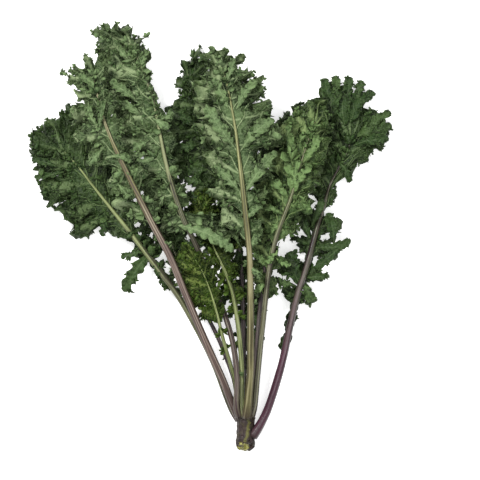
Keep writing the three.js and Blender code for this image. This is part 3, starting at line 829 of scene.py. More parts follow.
def makeGreen(name, colours):
    finish, tree, place, tones = startFinish(name)
    vein, edge, paintedLight, shade = tones
    blotch = noiseNode(tree, place, 60, 3)
    speckle = noiseNode(tree, place, 420, 4)
    leaf = mixColours(tree, spanOf(tree, shade, 0.45, 0.6), colours["leaf"], colours["other"])
    # Painted shade: the fold colour is mixed in where the painted light value is low, in folds and deep
    # among the frills.
    leaf = mixColours(tree, spanOf(tree, paintedLight, 0.25, 0.8), colours["fold"], leaf)
    leaf = mixColours(tree, spanOf(tree, blotch, 0.35, 0.75, 0.0, 0.35), leaf, colours["edge"])
    leaf = mixColours(tree, spanOf(tree, edge, 0.2, 1.0, 0.0, 0.35), leaf, colours["edge"])
    leaf = mixColours(tree, spanOf(tree, speckle, 0.45, 0.75, 0.0, 0.45), leaf, colours["fold"])
    cells = tree.nodes.new("ShaderNodeTexVoronoi")
    cells.feature = "DISTANCE_TO_EDGE"
    cells.inputs["Scale"].default_value = veinletLook["scale"]
    tree.links.new(place, cells.inputs["Vector"])
    fromVeinlet = cells.outputs["Distance"]
    veinlet = spanOf(tree, fromVeinlet, 0.0, veinletLook["width"], veinletLook["strength"], 0.0)
    leaf = mixColours(tree, veinlet, leaf, colours["vein"])
    leaf = mixColours(tree, spanOf(tree, vein, 0.25, 0.95, 0.0, 0.8), leaf, colours["vein"])
    roughness = spanOf(tree, speckle, 0.3, 0.7, colours["rough"] - 0.08, colours["rough"] + 0.1)
    bump = addBump(tree, speckle, 0.5, 0.0008)
    swelling = spanOf(tree, fromVeinlet, 0.0, 0.3)
    puff = addBump(tree, swelling, veinletLook["puff"], veinletLook["puffHeight"])
    tree.links.new(bump.outputs["Normal"], puff.inputs["Normal"])
    endFinish(tree, leaf, roughness, 0.16, puff)
    return finish


greenFinishes = {name: makeGreen(name, colours) for name, colours in greens.items()}
bladeFinishes = {
    "deep": [greenFinishes["upperDeep"], greenFinishes["underDeep"]],
    "pale": [greenFinishes["underPale"], greenFinishes["upperDeep"]],
    "bright": [greenFinishes["upperBright"], greenFinishes["underPale"]],
    "young": [greenFinishes["upperYoung"], greenFinishes["upperYoung"]],
}


# Colours of the cut crown: its bark, the stripe and the leaf line on it, and its flesh.
crownColours = {
    "bark": (0.040, 0.024, 0.021), "darkBark": (0.014, 0.009, 0.009), "stripe": (0.115, 0.110, 0.030),
    "flesh": (0.44, 0.43, 0.13), "fleshDark": (0.034, 0.020, 0.012), "line": (0.016, 0.010, 0.009),
    "green": (0.062, 0.056, 0.024),
}

# A stalk's colours from the crown up, and the streaks that run along it; the streak colour is also painted
# shade.
stalkColours = {
    "olive": {
        "base": (0.056, 0.050, 0.032), "middle": (0.088, 0.088, 0.048), "top": (0.27, 0.33, 0.12),
        "streakAndShade": (0.042, 0.040, 0.025), "pale": (0.30, 0.33, 0.17),
    },
    "plum": {
        "base": (0.060, 0.040, 0.044), "middle": (0.070, 0.054, 0.052), "top": (0.22, 0.26, 0.13),
        "streakAndShade": (0.024, 0.016, 0.019), "pale": (0.19, 0.16, 0.15),
    },
    "purple": {
        "base": (0.048, 0.012, 0.024), "middle": (0.098, 0.090, 0.066), "top": (0.100, 0.112, 0.055),
        "streakAndShade": (0.016, 0.005, 0.010), "pale": (0.105, 0.045, 0.068), "turn": (0.28, 0.44), "gloss": 0.45,
    },
    "lime": {
        "base": (0.115, 0.125, 0.045), "middle": (0.19, 0.225, 0.085), "top": (0.24, 0.30, 0.10),
        "streakAndShade": (0.060, 0.070, 0.026), "pale": (0.36, 0.40, 0.20),
    },
    "mauve": {
        "base": (0.050, 0.030, 0.028), "middle": (0.190, 0.140, 0.115), "top": (0.27, 0.285, 0.115),
        "streakAndShade": (0.070, 0.044, 0.038), "pale": (0.42, 0.36, 0.30),
    },
    "straw": {
        "base": (0.095, 0.086, 0.031), "middle": (0.165, 0.155, 0.068), "top": (0.28, 0.31, 0.125),
        "streakAndShade": (0.060, 0.052, 0.024), "pale": (0.38, 0.35, 0.20),
    },
    "sage": {
        "base": (0.070, 0.064, 0.036), "middle": (0.112, 0.110, 0.062), "top": (0.21, 0.24, 0.10),
        "streakAndShade": (0.050, 0.044, 0.030), "pale": (0.32, 0.33, 0.23),
    },
    "fern": {
        "base": (0.066, 0.034, 0.045), "middle": (0.13, 0.135, 0.085), "top": (0.30, 0.34, 0.16),
        "streakAndShade": (0.034, 0.026, 0.022), "pale": (0.23, 0.23, 0.14), "turn": (0.36, 0.52),
    },
}


def makeStalkFinish(name, colours):
    finish, tree, place, tones = startFinish(name)
    along, streakAndShade, side = tones[:3]
    blotch = noiseNode(tree, place, 45, 3)
    fine = noiseNode(tree, place, 700, 3)
    turn = spanOf(tree, along, *colours.get("turn", (0.03, 0.2)))
    skin = mixColours(tree, turn, colours["base"], colours["middle"])
    skin = mixColours(tree, spanOf(tree, along, 0.5, 0.75), skin, colours["top"])
    pale = mixColours(tree, 0.5, skin, colours["pale"])
    # Streaks, partly real colour and partly painted: pale on the ribs as painted highlight, dark in the
    # grooves as painted shade.
    skin = mixColours(tree, spanOf(tree, streakAndShade, 0.2, 0.48), pale, skin)
    skin = mixColours(tree, spanOf(tree, streakAndShade, 0.5, 0.8, 0.0, 0.9), skin, colours["streakAndShade"])
    skin = mixColours(tree, spanOf(tree, blotch, 0.5, 0.8, 0.0, 0.4), skin, colours["streakAndShade"])
    # Painted shade: the stalk's left and right flanks are darkened towards the streak colour.
    skin = mixColours(tree, spanOf(tree, side, 0.3, 1.0, 0.0, 0.85), skin, colours["streakAndShade"])
    skin = mixColours(tree, spanOf(tree, along, 0.0, 0.05, 0.75, 0.0), skin, crownColours["bark"])
    gloss = colours.get("gloss", 0.3)
    roughness = spanOf(tree, blotch, 0.3, 0.7, 0.5 - 0.6 * gloss, 0.5)
    endFinish(tree, skin, roughness, gloss, addBump(tree, fine, 0.35, 0.0004))
    return finish


stalkFinishes = {name: makeStalkFinish(name + "Stalk", colours) for name, colours in stalkColours.items()}
stalkShape = {
    "sides": 24, "rings": 100, "endRings": 0, "ribs": 7, "ribHeight": 0.035, "knobHeight": 0.03,
    "sink": 1.2, "end": 0.992,
}


def makeStalk(plan, route, settings):
    mesh, shape = makeBar(plan["name"] + "_rib", settings)
    angle = np.arctan2(shape[:, 1], shape[:, 0])
    share = np.clip(shape[:, 2] + 0.5, 0, 1)
    u = settings["end"] * share
    centre = onRoute(route, u)
    ahead = onRoute(route, np.minimum(u + 0.004, 1)) - onRoute(route, np.maximum(u - 0.004, 0))
    ahead /= np.linalg.norm(ahead, axis=1)[:, None]
    across = np.stack([ahead[:, 1], -ahead[:, 0], 0 * u], -1)
    across /= np.linalg.norm(across, axis=1)[:, None]
    up = np.cross(across, ahead)
    lattice = makeLattice(plan["seed"] * 10 + 5)
    ribs = np.cos(angle * settings["ribs"] + 1.3 * smoothNoise(lattice, u * 9, 0 * u + 0.5, 0 * u))
    knobs = smoothNoise(lattice, u * 24, np.cos(angle) * 1.2 + 5, np.sin(angle) * 1.2 + 5)
    swell = 1 + settings["ribHeight"] * ribs + settings["knobHeight"] * knobs
    full = stalkRadius(plan, u)
    radius = full * thinning(u) * swell
    centre[:, 2] -= full * (1 - thinning(u)) * settings["sink"]
    places = centre + across * (np.cos(angle) * radius)[:, None] + up * (np.sin(angle) * radius)[:, None]
    # Streaks along the stalk, with painted light and shade: its ribs are painted paler and the grooves
    # between them darker. The third value below is painted shade on the stalk's left and right flanks.
    streakAndShade = smoothNoise(lattice, u * 7, np.cos(angle) * 4.5 + 9, np.sin(angle) * 4.5 + 9)
    streakAndShade = streakAndShade + 0.8 * smoothNoise(lattice, u * 16, np.cos(angle) * 9 + 3, np.sin(angle) * 9 + 3)
    streakAndShade = 0.5 + 0.6 * streakAndShade - 0.15 * ribs
    setPoints(mesh, places, np.stack([share, streakAndShade, np.abs(np.cos(angle)) ** 2, 0 * u + 1], -1))
    mesh.shade_smooth()
    mesh.materials.append(stalkFinishes[plan.get("skin", plan["stalk"])])
    stalk = putInScene(plan["name"] + "_rib", mesh)
    finishPiece(stalk, plan["name"] + "_stalk")


# The cut crown, in millimetres: bark with a pale stripe, the line that the leaves left, and its raw,
# slanted cut. The profile is the distance from the cut end and the radius there.
crownShape = {
    "start": (36.5, -224.9, 10.6), "end": (37.5, -184, 12.5),
    "profile": [
        (0, 5.2), (2.2, 7.6), (5.2, 9.6), (9.6, 10.4), (13.5, 9.7), (17, 9.2), (27, 9.0), (34, 9.6),
        (35.6, 10.2), (37, 9.4), (40.5, 8.2), (42, 5.5),
    ],
    "sides": 96, "rings": 130, "endRings": 10, "ridges": 17, "ridgeHeight": 0.35, "roughness": 0.55,
    "cutSlant": 0.95, "cutLevel": -1.5, "cutEnd": 13, "cutRagged": 3.2, "endRagged": 1.1,
    "stripeWidth": 1.6, "lineAt": 36.4, "lineWidth": 0.55,
}


def makeCrownFinish(colours):
    finish, tree, place, tones = startFinish("crownSkin")
    cut, stripe, line = tones[:3]
    stretch = tree.nodes.new("ShaderNodeMapping")
    stretch.inputs["Scale"].default_value = (1, 0.22, 1)
    tree.links.new(place, stretch.inputs["Vector"])
    fibre = noiseNode(tree, stretch.outputs["Vector"], 330, 3)
    blotch = noiseNode(tree, place, 150, 4)
    fine = noiseNode(tree, place, 600, 4)
    bark = mixColours(tree, spanOf(tree, fibre, 0.38, 0.6), colours["darkBark"], colours["bark"])
    bark = mixColours(tree, spanOf(tree, blotch, 0.5, 0.7, 0.0, 0.6), bark, colours["green"])
    bark = mixColours(tree, spanOf(tree, stripe, 0.2, 0.8), bark, colours["stripe"])
    bark = mixColours(tree, spanOf(tree, line, 0.2, 0.8), bark, colours["line"])
    coarse = noiseNode(tree, place, 75, 2)
    flesh = mixColours(tree, spanOf(tree, fine, 0.36, 0.5), colours["fleshDark"], colours["flesh"])
    flesh = mixColours(tree, spanOf(tree, coarse, 0.47, 0.56), flesh, colours["fleshDark"])
    skin = mixColours(tree, spanOf(tree, cut, 0.3, 0.7), bark, flesh)
    roughness = spanOf(tree, blotch, 0.3, 0.7, 0.42, 0.7)
    endFinish(tree, skin, roughness, 0.35, addBump(tree, fine, 0.6, 0.0006))
    return finish


def makeCrown(settings, colours):
    mesh, shape = makeBar("crown_stump", settings)
    start, end = np.array(settings["start"]), np.array(settings["end"])
    axis = (end - start) / np.linalg.norm(end - start)
    across = np.cross([0, 0, 1], axis)
    across = -across / np.linalg.norm(across)
    up = np.cross(across, axis)
    along, radii = np.array(settings["profile"]).T
    distance = np.clip(shape[:, 2] + 0.5, 0, 1) * along[-1]
    outward = np.hypot(shape[:, 0], shape[:, 1])
    angle = np.arctan2(shape[:, 1], shape[:, 0])
    lattice = makeLattice(91)
    around = (np.cos(angle) * 2.2 + 7, np.sin(angle) * 2.2 + 7)
    bumps = smoothNoise(lattice, distance / 2.4, *around) * settings["roughness"]
    ridges = np.abs(np.sin(angle * settings["ridges"] / 2 + 0.6 * np.sin(distance / 5)))
    barkLift = settings["ridgeHeight"] * (ridges - 0.5) * ramp(distance, 8, 16)
    radius = (np.interp(distance, along, radii) + bumps + barkLift) * outward
    sideways = np.cos(angle) * radius
    height = np.sin(angle) * radius
    ragged = smoothNoise(lattice, sideways / 2.1 + 3, distance / 2.1, height / 2.1) * settings["cutRagged"]
    cutTop = settings["cutLevel"] + settings["cutSlant"] * distance + ragged
    cut = ramp(height - cutTop, -0.5, 0.3) * (1 - ramp(distance, 9, settings["cutEnd"]))
    cut = cut * (1 - ramp(sideways + ragged, 2, 5))
    atEnd = (1 - ramp(distance, 0.0, 0.4)) * ramp(1 - outward, 0.03, 0.12)
    height = np.where(distance < settings["cutEnd"], np.minimum(height, cutTop), height)
    distance = distance + (1 - ramp(distance, 0, 3)) * (0.2 + settings["endRagged"] * np.abs(ragged))
    places = start + axis * distance[:, None] + across * sideways[:, None] + up * height[:, None]
    places[:, 2] = np.maximum(places[:, 2], 0)
    wander = smoothNoise(lattice, distance / 6, 0 * distance + 4.4, 0 * distance) * 1.6 + bumps * 1.5
    fromStripe = sideways - 1.2 - wander - 0.12 * (distance - 20)
    stripe = np.exp(-(fromStripe / settings["stripeWidth"]) ** 2) * ramp(height, 0, 3)
    fromLine = distance - settings["lineAt"] - 0.5 * np.sin(3 * angle)
    line = np.exp(-(fromLine / settings["lineWidth"]) ** 2)
    setPoints(mesh, places * mm, np.stack([np.maximum(cut, atEnd), stripe, line, 0 * line + 1], -1))
    bm = bmesh.new()
    bm.from_mesh(mesh)
    bmesh.ops.recalc_face_normals(bm, faces=bm.faces[:])
    bm.to_mesh(mesh)
    bm.free()
    mesh.shade_smooth()
    mesh.materials.append(makeCrownFinish(colours))
    finishPiece(putInScene("crown_stump", mesh), "crown")


makeCrown(crownShape, crownColours)
print("crown ready")


# How a blade's edge is cut and crumpled, in millimetres: fingers and their teeth, then crests from
# big to fine with their heights, and how far they sway sideways.
broadFrill = {
    "fingerWidth": 8.5, "fingerDepth": 9, "toothWidth": 3.3, "toothDepth": 2.0, "big": 12, "bigHeight": 20,
    "small": 5.5, "smallHeight": 11, "sway": 8, "veinHeight": 0.5, "limit": 13,
    "fine": 2.7, "fineHeight": 1.0,
}
roundFrill = {
    "fingerWidth": 11, "fingerDepth": 11, "toothWidth": 4.4, "toothDepth": 1.6, "big": 16, "bigHeight": 14,
    "small": 6, "smallHeight": 9, "sway": 6, "veinHeight": 0.5, "limit": 12,
    "fine": 3, "fineHeight": 0.8,
}
youngFrill = {
    "fingerWidth": 6, "fingerDepth": 5, "toothWidth": 2.8, "toothDepth": 1.5, "big": 8, "bigHeight": 14,
    "small": 4, "smallHeight": 8, "sway": 6, "veinHeight": 0.4, "limit": 10,
    "fine": 2.2, "fineHeight": 0.8,
}

# The curled frills of a leaf, in millimetres: their size, how far apart they stand and how far from the
# midrib, how far they reach over the edge, how many there are, and how far apart those on the midrib are.
mossyFans = {"size": 9.5, "spacing": 4.7, "inner": 3.5, "overhang": 3.5, "most": 310, "cover": 5}
broadFans = {"size": 14, "spacing": 7, "inner": 3.5, "overhang": 3.5, "most": 210, "cover": 5}
openFans = {"size": 15, "spacing": 7.8, "inner": 7, "overhang": 3.5, "most": 170, "cover": 6}
backFans = {"size": 15, "spacing": 7.5, "inner": 3, "overhang": 8, "most": 140, "cover": 6}
edgeFans = {"size": 13, "spacing": 6.4, "inner": 4, "overhang": 2, "most": 210, "cover": 8}
youngFans = {"size": 6.5, "spacing": 3.3, "inner": 1.2, "overhang": 3, "most": 240, "cover": 4}

# Each leaf, in millimetres and in shares of its centreline:
# radius is the stalk's at its base and at its tip, bladeFrom is where the blade starts, droop is how far
# its edge hangs, sinus how far the blade reaches between lobes, splay how far a lobe's edges fan out,
# hidden where frills start to cover the midrib, and grid the rows and columns of one side.
# tufts are frills on the stalk: place along it, turn away from it and size.
# leaflets are feathery lobes: root x and y, tip x and y, and width.
# route holds the knots of the centreline: x, y and height.
# lobes are the place along it, the left and the right tip, and how far these two rise over what they
# lie on. tip is the leaf's end.
leafPlans = [
    {
        "name": "leaf_far_left", "stalk": "olive", "slot": "deep_green", "faces": "deep", "seed": 1,
        "radius": (3.6, 2.6), "bladeFrom": 0.63, "droop": 7, "sinus": 0.6, "splay": 0.2,
        "hidden": 0.93, "grid": (380, 6), "frill": broadFrill, "fans": mossyFans,
        "tufts": [(0.53, -0.8, 13), (0.57, -1.0, 16), (0.6, -1.1, 18), (0.63, -1.1, 18)],
        "leaflets": [
            (-104, 92, -84, 112, 16), (-118, 128, -103, 158, 18), (-104, 60, -86, 78, 14),
            (-61, -16, -90, -58, 24), (-66, -16, -93, -22, 12), (-78, 6, -87, -2, 9),
            (-60, -22, -54, -42, 10), (-108, 22, -113, 0, 12), (-82, 2, -64, 15, 12),
            (-60, -24, -45, -8, 14),
            (-160, 73, -187, 80, 12), (-152, 68, -185, 62, 12),
        ],
        "route": [
            (30, -192, 9), (20, -175, 6), (2, -128, 12), (-29, -69, 19), (-61, -25, 20),
            (-93, 16, 16), (-121, 51, 13), (-138, 73, 11.5), (-154, 90, 10),
        ],
        "lobes": [
            [0.49, -55, -50, -40, -44], [0.6, -75, -24, -62, 2], [0.69, -110, 7, -78, 32],
            [0.745, -143, 2, -85, 58], [0.8, -158, 20, -90, 84], [0.87, -177, 48, -104, 113],
            [0.935, -190, 82, -124, 134], [0.98, -190, 104, -146, 139],
        ],
        "tip": [-168, 125],
    },
    {
        "name": "leaf_left_back", "stalk": "plum", "slot": "deep_green", "faces": "deep", "seed": 2,
        "radius": (2.7, 1.2), "bladeFrom": 0.68, "droop": 3, "sinus": 0.62, "splay": 0.2,
        "hidden": 0.75, "grid": (220, 5), "frill": broadFrill, "fans": backFans,
        "tufts": [
            (0.25, 0.9, 5), (0.42, -0.9, 10), (0.46, 1.0, 11), (0.5, -0.9, 12), (0.54, 0.9, 13),
            (0.58, 1.0, 14), (0.6, -1.0, 14),
        ],
        "leaflets": [
            (-72, 60, -86, 86, 14), (-50, 40, -32, 60, 14), (-38, -10, -22, 6, 12),
            (-44, 0, -60, -16, 14), (-30, -30, -12, -14, 14), (-54, 9, -72, 4, 14),
            (-30, -36, -48, -50, 12), (-20, -50, -36, -62, 10),
        ],
        "route": [
            (33, -186, 9), (29.5, -175, 6.5), (24, -147, 7), (9, -108, 8), (-7, -76, 10),
            (-23, -45, 14), (-38, -14, 16), (-50, 17, 15), (-57, 40, 13),
        ],
        "lobes": [
            [0.67, -46, -30, -8, -26], [0.79, -60, 8, -20, 6], [0.89, -71, 28, -30, 36],
            [0.96, -74, 54, -38, 58],
        ],
        "tip": [-60, 70],
    },
    {
        "name": "leaf_centre_back", "stalk": "plum", "slot": "deep_green", "faces": "deep", "seed": 3,
        "radius": (2.7, 1.2), "bladeFrom": 0.64, "droop": 3.5, "sinus": 0.62, "splay": 0.2,
        "hidden": 0.4, "grid": (360, 5), "frill": broadFrill, "fans": backFans,
        "tufts": [
            (0.2, 0.9, 7), (0.24, -0.9, 7), (0.28, 0.8, 8), (0.33, -0.8, 8), (0.37, 0.9, 9),
            (0.42, -0.8, 9), (0.46, 0.9, 9), (0.5, -0.8, 10),
        ],
        "leaflets": [
            (-10, 96, -42, 92, 17), (0, 20, -24, 30, 16), (26, -20, -8, -16, 14), (30, -40, 10, -36, 14),
            (-11, 118, -48, 134, 15), (-14, 150, 1, 172, 13), (34, -50, 52, -62, 12),
            (31, -62, 18, -86, 12), (30, -50, 12, -72, 13),
            (-2, 70, -26, 70, 18), (2, 26, -24, 46, 16), (10, 6, -12, -10, 16), (30, -10, 27, -34, 14),
            (-5, 142, -29, 168, 15), (-10, 111, -31, 130, 14), (-5, 54, -27, 59, 16),
            (-5, 38, -25, 42, 16), (23, -14, 5, -27, 16), (27, -40, 12, -56, 12),
        ],
        "route": [
            (37, -186, 14), (36.5, -175, 13.5), (35, -139, 12), (35, -108, 11), (34, -66, 12),
            (32, -27, 13), (27, 5, 14), (19, 38, 15), (7, 74, 16), (-3, 106, 16),
            (-12, 134, 13), (-20, 158, 11), (-24, 173, 9),
        ],
        "lobes": [
            [0.14, 30, -132, 41, -130], [0.2, 28, -108, 42, -106], [0.27, 27, -84, 43, -82],
            [0.34, 25, -58, 44, -56], [0.42, 22, -28, 44, -28], [0.51, 12, -2, 42, -2],
            [0.6, 2, 14, 38, 18], [0.68, -25, 46, 36, 50], [0.76, -48, 80, 30, 84],
            [0.83, -50, 108, 24, 114], [0.895, -37, 138, 15, 142], [0.945, -33, 164, 8, 166],
            [0.98, -28, 186, 0, 185],
        ],
        "tip": [-15, 196],
    },
    {
        "name": "leaf_right_back", "stalk": "plum", "slot": "deep_green", "faces": "deep", "seed": 4,
        "radius": (2.7, 1.2), "bladeFrom": 0.62, "droop": 3.5, "sinus": 0.62, "splay": 0.2,
        "hidden": 0.6, "grid": (310, 5), "frill": broadFrill, "fans": backFans,
        "tufts": [
            (0.22, -0.8, 6), (0.28, 0.9, 6), (0.33, -0.9, 7), (0.36, 0.8, 7), (0.4, -0.8, 8),
            (0.46, 0.8, 9), (0.5, -0.9, 10), (0.54, 0.9, 10),
        ],
        "leaflets": [(72, 80, 52, 96, 16), (64, 44, 46, 58, 14)],
        "route": [
            (42, -186, 12), (44, -175, 12), (47, -144, 11), (49, -108, 11), (53, -66, 12),
            (58, -27, 14), (64, 9, 16), (72, 38, 17), (79, 67, 16), (85, 92, 14), (90, 113, 12),
        ],
        "lobes": [
            [0.26, 40, -106, 52, -104], [0.34, 40, -80, 55, -78], [0.42, 42, -54, 60, -52],
            [0.51, 42, -26, 66, -22], [0.6, 46, 2, 74, 8], [0.69, 44, 32, 88, 42], [0.78, 50, 62, 97, 70],
            [0.86, 58, 92, 99, 98], [0.93, 66, 120, 101, 122], [0.975, 78, 133, 101, 137],
        ],
        "tip": [91, 141],
    },
    {
        "name": "leaf_far_right", "stalk": "purple", "slot": "deep_green", "faces": "deep", "seed": 5,
        "radius": (4.5, 2.2), "bladeFrom": 0.74, "droop": 7, "sinus": 0.45, "splay": 0.2, "lobeHalf": 9,
        "lobeShade": 0.44, "lobeCut": 0.28, "mix": 0.4,
        "hidden": 0.9, "grid": (400, 6), "frill": roundFrill, "fans": edgeFans,
        "leaflets": [
            (129, 118, 128, 158, 30), (141, 116, 143, 159, 30), (146, 118, 158, 153, 26),
            (125, 140, 118, 166, 17), (136, 142, 131, 169, 14), (143, 142, 145, 168, 15),
            (150, 138, 159, 164, 14), (152, 134, 172, 152, 16), (160, 108, 173, 133, 17),
            (153, 104, 182, 125, 26), (162, 112, 189, 131, 15), (160, 102, 190, 117, 17),
            (149, 95, 187, 102, 17), (122, 100, 108, 128, 13), (134, 79, 146, 56, 11),
            (108, -11, 147, -4, 16), (129, -8, 123, 25, 19), (140, -7, 109, -34, 15),
            (105, -3, 92, 33, 17), (104, -9, 84, -1, 9), (96, -54, 84, -15, 25),
            (97, -44, 70, -34, 17), (106, 10, 118, 40, 13),
            (98, -43, 124, -41, 11), (97, -46, 109, -69, 17), (91, -52, 66, -44, 12),
        ],
        "route": [
            (44, -209, 14), (53, -195, 15), (62, -175, 16), (75, -132, 18), (84, -90, 20),
            (92, -58, 21), (101, -30, 21), (111, 7, 20), (119, 33, 18), (125, 53, 15),
            (134, 71, 13), (144, 90, 11), (148, 106, 10),
        ],
        "lobes": [
            [0.31, 71, -110, 86, -104], [0.38, 77, -86, 93, -80], [0.46, 77, -52, 107, -68],
            [0.54, 80, -28, 118, -42], [0.62, 94, -2, 136, -12], [0.69, 101, 25, 138, 12],
            [0.77, 104, 56, 134, 50], [0.83, 104, 84, 150, 76], [0.885, 104, 112, 173, 92],
            [0.93, 104, 141, 184, 114], [0.97, 122, 160, 163, 140],
        ],
        "tip": [142, 157],
    },
    {
        "name": "leaf_tall_left", "stalk": "plum", "skin": "fern", "slot": "pale_green",
        "faces": "pale", "seed": 6,
        "radius": (3.1, 2.3), "bladeFrom": 0.62, "droop": 2.5, "sinus": 0.58, "splay": 0.2,
        "hidden": 0.78, "grid": (400, 6), "frill": broadFrill, "fans": broadFans, "mix": 0.38,
        "tufts": [
            (0.11, -1.2, 6), (0.3, 1.0, 7), (0.36, -0.9, 9), (0.42, 1.2, 10), (0.46, -1.0, 13),
            (0.5, -1.2, 14), (0.6, -1.3, 16), (0.65, -1.2, 17), (0.7, -1.3, 16), (0.56, 1.0, 14),
        ],
        "leaflets": [
            (-76, 141, -103, 161, 18), (-71, 126, -95, 138, 15), (-73, 175, -66, 194, 11),
            (-85, 184, -102, 202, 14), (-57, 82, -77, 71, 15), (-62, 100, -82, 92, 15),
            (-60, 123, -42, 111, 13), (-34, 12, 25, -15, 22), (-54, 61, -73, 48, 16),
            (-47, 43, -64, 23, 15), (-65, 106, -92, 108, 15), (-60, 86, -92, 88, 15),
            (-92, 150, -108, 136, 14), (-54, 120, -38, 129, 13),
        ],
        "route": [
            (30, -188, 20), (27.5, -175, 26), (28, -144, 29), (23, -108, 26), (12, -73, 20),
            (-4, -34, 18), (-15, -8, 28), (-27, 17, 40), (-37, 45, 43), (-45, 74, 43),
            (-52, 108, 43), (-59, 142, 43), (-67, 165, 42), (-76, 186, 40), (-83, 202, 38),
        ],
        "lobes": [
            [0.53, -56, 12, 31, 2, 0, 6], [0.6, -70, 40, -22, 42], [0.67, -78, 66, -32, 74],
            [0.735, -92, 94, -37, 100], [0.8, -100, 122, -42, 124], [0.86, -106, 150, -54, 143],
            [0.915, -118, 176, -61, 170], [0.955, -123, 201, -60, 194], [0.985, -116, 220, -70, 213],
        ],
        "tip": [-95, 225],
    },
    {
        "name": "leaf_young_left", "stalk": "lime", "slot": "bright_green", "faces": "young", "seed": 7,
        "radius": (2.5, 1.1), "bladeFrom": 0.66, "droop": 2, "sinus": 0.6, "splay": 0.25,
        "hidden": 0.8, "grid": (260, 5), "frill": youngFrill, "fans": youngFans,
        "tufts": [(0.4, 1.0, 9), (0.42, -0.9, 8), (0.5, 0.8, 10), (0.52, -1.1, 10)],
        "route": [
            (33, -186, 13), (30, -175, 13), (27, -160, 15), (25, -147, 17), (14, -108, 26),
            (6, -75, 34), (-2, -50, 39), (-10, -32, 42), (-16, -23, 43),
        ],
        "lobes": [
            [0.62, -12, -76, 15, -72], [0.72, -27, -60, 13, -52], [0.81, -33, -42, 7, -36],
            [0.89, -35, -26, 1, -22], [0.96, -33, -14, -8, -13],
        ],
        "tip": [-22, -9],
    },
    {
        "name": "leaf_young_centre", "stalk": "lime", "slot": "bright_green", "faces": "young", "seed": 8,
        "radius": (3.4, 1.3), "bladeFrom": 0.68, "droop": 2, "sinus": 0.6, "splay": 0.25,
        "hidden": 0.75, "grid": (260, 5), "frill": youngFrill, "fans": youngFans,
        "tufts": [
            (0.47, -1.0, 11), (0.5, 0.9, 12), (0.34, 0.8, 6), (0.55, -0.7, 12), (0.6, 1.2, 14),
            (0.66, 1.3, 15), (0.72, 1.2, 15), (0.63, -0.9, 11), (0.78, 1.3, 14),
        ],
        "leaflets": [(24, -14, 34, -4, 10)],
        "route": [
            (35, -188, 21), (32.8, -175, 21.5), (33, -140, 23), (31, -108, 27), (26, -71, 32),
            (22, -53, 34), (15, -35, 34), (6, -16, 31), (-2, 2, 28), (-8, 17, 28), (-11, 28, 28),
        ],
        "lobes": [
            [0.58, 19, -62, 36, -56], [0.68, 15, -36, 31, -34], [0.77, -4, -12, 27, -10],
            [0.85, -18, 8, 22, 12], [0.92, -24, 24, 12, 32], [0.97, -22, 38, 0, 44],
        ],
        "tip": [-12, 47],
    },
    {
        "name": "leaf_right_front", "stalk": "olive", "skin": "sage", "slot": "bright_green",
        "faces": "bright", "seed": 9,
        "radius": (3.1, 2.1), "bladeFrom": 0.58, "droop": 2.5, "sinus": 0.6, "splay": 0.2,
        "hidden": 0.9, "grid": (350, 6), "frill": broadFrill, "fans": openFans, "mix": 0.54,
        "leaflets": [
            (63, -33, 45, -18, 14), (61, -48, 46, -58, 11), (66, -20, 84, -30, 10),
            (84, 42, 76, 92, 14), (85, 44, 105, 75, 15), (84, 46, 90, 82, 12), (82, 38, 57, 61, 16),
            (81, 32, 104, 34, 13), (77, 23, 55, 30, 12), (94, 74, 112, 106, 15), (92, 80, 81, 116, 15),
            (75, 15, 54, 5, 12), (71, -14, 54, -27, 11),
        ],
        "route": [
            (43, -188, 19), (46.5, -175, 20), (49, -149, 24), (53, -108, 30), (57, -71, 36),
            (61, -37, 40), (68, -4, 42), (75, 17, 43), (83, 38, 43), (90, 61, 43),
            (97, 85, 42), (104, 106, 40), (110, 121, 38),
        ],
        "lobes": [
            [0.43, 46, -34, 71, -54], [0.52, 46, 0, 79, -14], [0.61, 48, 30, 92, 18],
            [0.7, 52, 60, 108, 40], [0.78, 62, 88, 118, 66], [0.86, 74, 114, 126, 92],
            [0.93, 88, 134, 130, 116], [0.975, 100, 145, 126, 135],
        ],
        "tip": [115, 147],
    },
    {
        "name": "leaf_left_front", "stalk": "mauve", "slot": "pale_green", "faces": "pale", "seed": 10,
        "radius": (3.8, 3.1), "bladeFrom": 0.7, "droop": 2, "sinus": 0.6, "splay": 0.2,
        "hidden": 0.885, "grid": (350, 6), "frill": broadFrill, "fans": broadFans,
        "tufts": [
            (0.44, 0.9, 8), (0.5, -0.9, 10), (0.53, 0.8, 10), (0.57, -1.0, 14), (0.6, 1.1, 14),
            (0.63, -1.2, 16), (0.66, 1.2, 16), (0.69, -1.3, 16), (0.72, 1.3, 14),
        ],
        "leaflets": [
            (-113, 111, -108, 140, 10), (-115, 113, -125, 134, 12), (-116, 152, -135, 167, 14),
            (-145, 165, -154, 170, 7), (-110, 90, -125, 74, 14), (-102, 82, -80, 78, 14),
            (-94, 54, -76, 40, 13),
        ],
        "route": [
            (31, -191, 13), (22, -172, 17), (13, -149, 23), (-5, -108, 35), (-27, -55, 49),
            (-42, -19, 57), (-61, 17, 62), (-83, 61, 66), (-99, 95, 67), (-109, 121, 65),
            (-114, 140, 62), (-119, 158, 59), (-121, 171, 56),
        ],
        "lobes": [
            [0.6, -95, 32, -56, 34], [0.69, -107, 58, -68, 72], [0.77, -122, 76, -82, 98],
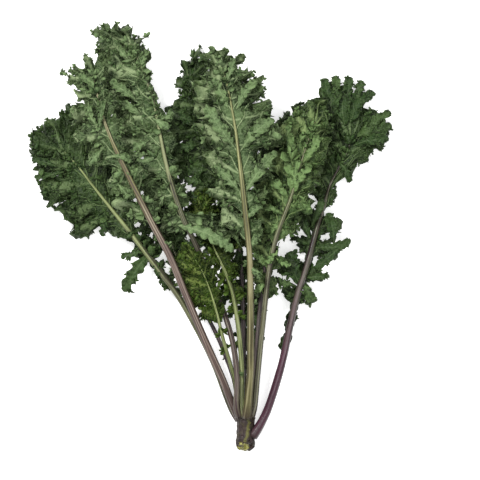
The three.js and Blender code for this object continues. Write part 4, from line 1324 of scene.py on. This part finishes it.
            [0.84, -136, 98, -90, 120], [0.895, -143, 124, -96, 140], [0.94, -141, 143, -101, 161],
            [0.975, -151, 164, -104, 176],
        ],
        "tip": [-125, 187],
    },
    {
        "name": "leaf_centre_front", "stalk": "straw", "slot": "pale_green", "faces": "pale", "seed": 11,
        "radius": (4.3, 2.0), "bladeFrom": 0.66, "droop": 2.5, "sinus": 0.62, "splay": 0.2,
        "hidden": 0.93, "grid": (360, 7), "frill": broadFrill, "fans": openFans, "mix": 0.55,
        "tufts": [(0.33, -0.7, 8), (0.41, -0.9, 10), (0.44, 1.1, 9)],
        "leaflets": [
            (41, -14, 54, 4, 12), (41, -30, 52, -44, 10),
            (33, 90, 66, 121, 22), (37, 46, 69, 88, 20), (31, 46, 5, 74, 18), (27, 90, -4, 136, 22),
            (19, 132, 4, 163, 16), (27, 130, 48, 161, 16), (17, 158, 25, 184, 12), (35, 15, 54, 33, 14),
        ],
        "route": [
            (38, -189, 22), (39.5, -175, 26), (42, -139, 34), (42, -108, 42), (42, -62, 52),
            (41, -19, 58), (37, 22, 62), (32, 67, 64), (27, 106, 64), (21, 142, 62),
            (16, 163, 59), (11, 177, 56),
        ],
        "lobes": [
            [0.53, 12, 26, 64, 14], [0.61, 2, 52, 62, 44], [0.69, -4, 82, 62, 74],
            [0.77, -11, 107, 76, 100], [0.84, -17, 133, 64, 127], [0.9, -18, 156, 57, 151],
            [0.95, -13, 176, 46, 171], [0.985, -3, 190, 30, 190],
        ],
        "tip": [14, 197],
    },
]

bladeShapes = []
for plan in leafPlans:
    route = makeRoute(plan["route"])
    makeStalk(plan, route, stalkShape)
    bladeShapes.append(shapeBlade(plan, route))
print("stalks ready")

everyShape = [shape for shapes, tones in bladeShapes for shape in shapes]
roof = makeRoof(np.concatenate([shape.reshape(-1, 3) for shape in everyShape]), roofShape)
for plan, (shapes, tones) in zip(leafPlans, bladeShapes):
    blade = makeBlade(plan, shapes, tones, roof)
    print(plan["name"], "made with", len(blade.data.polygons), "faces")
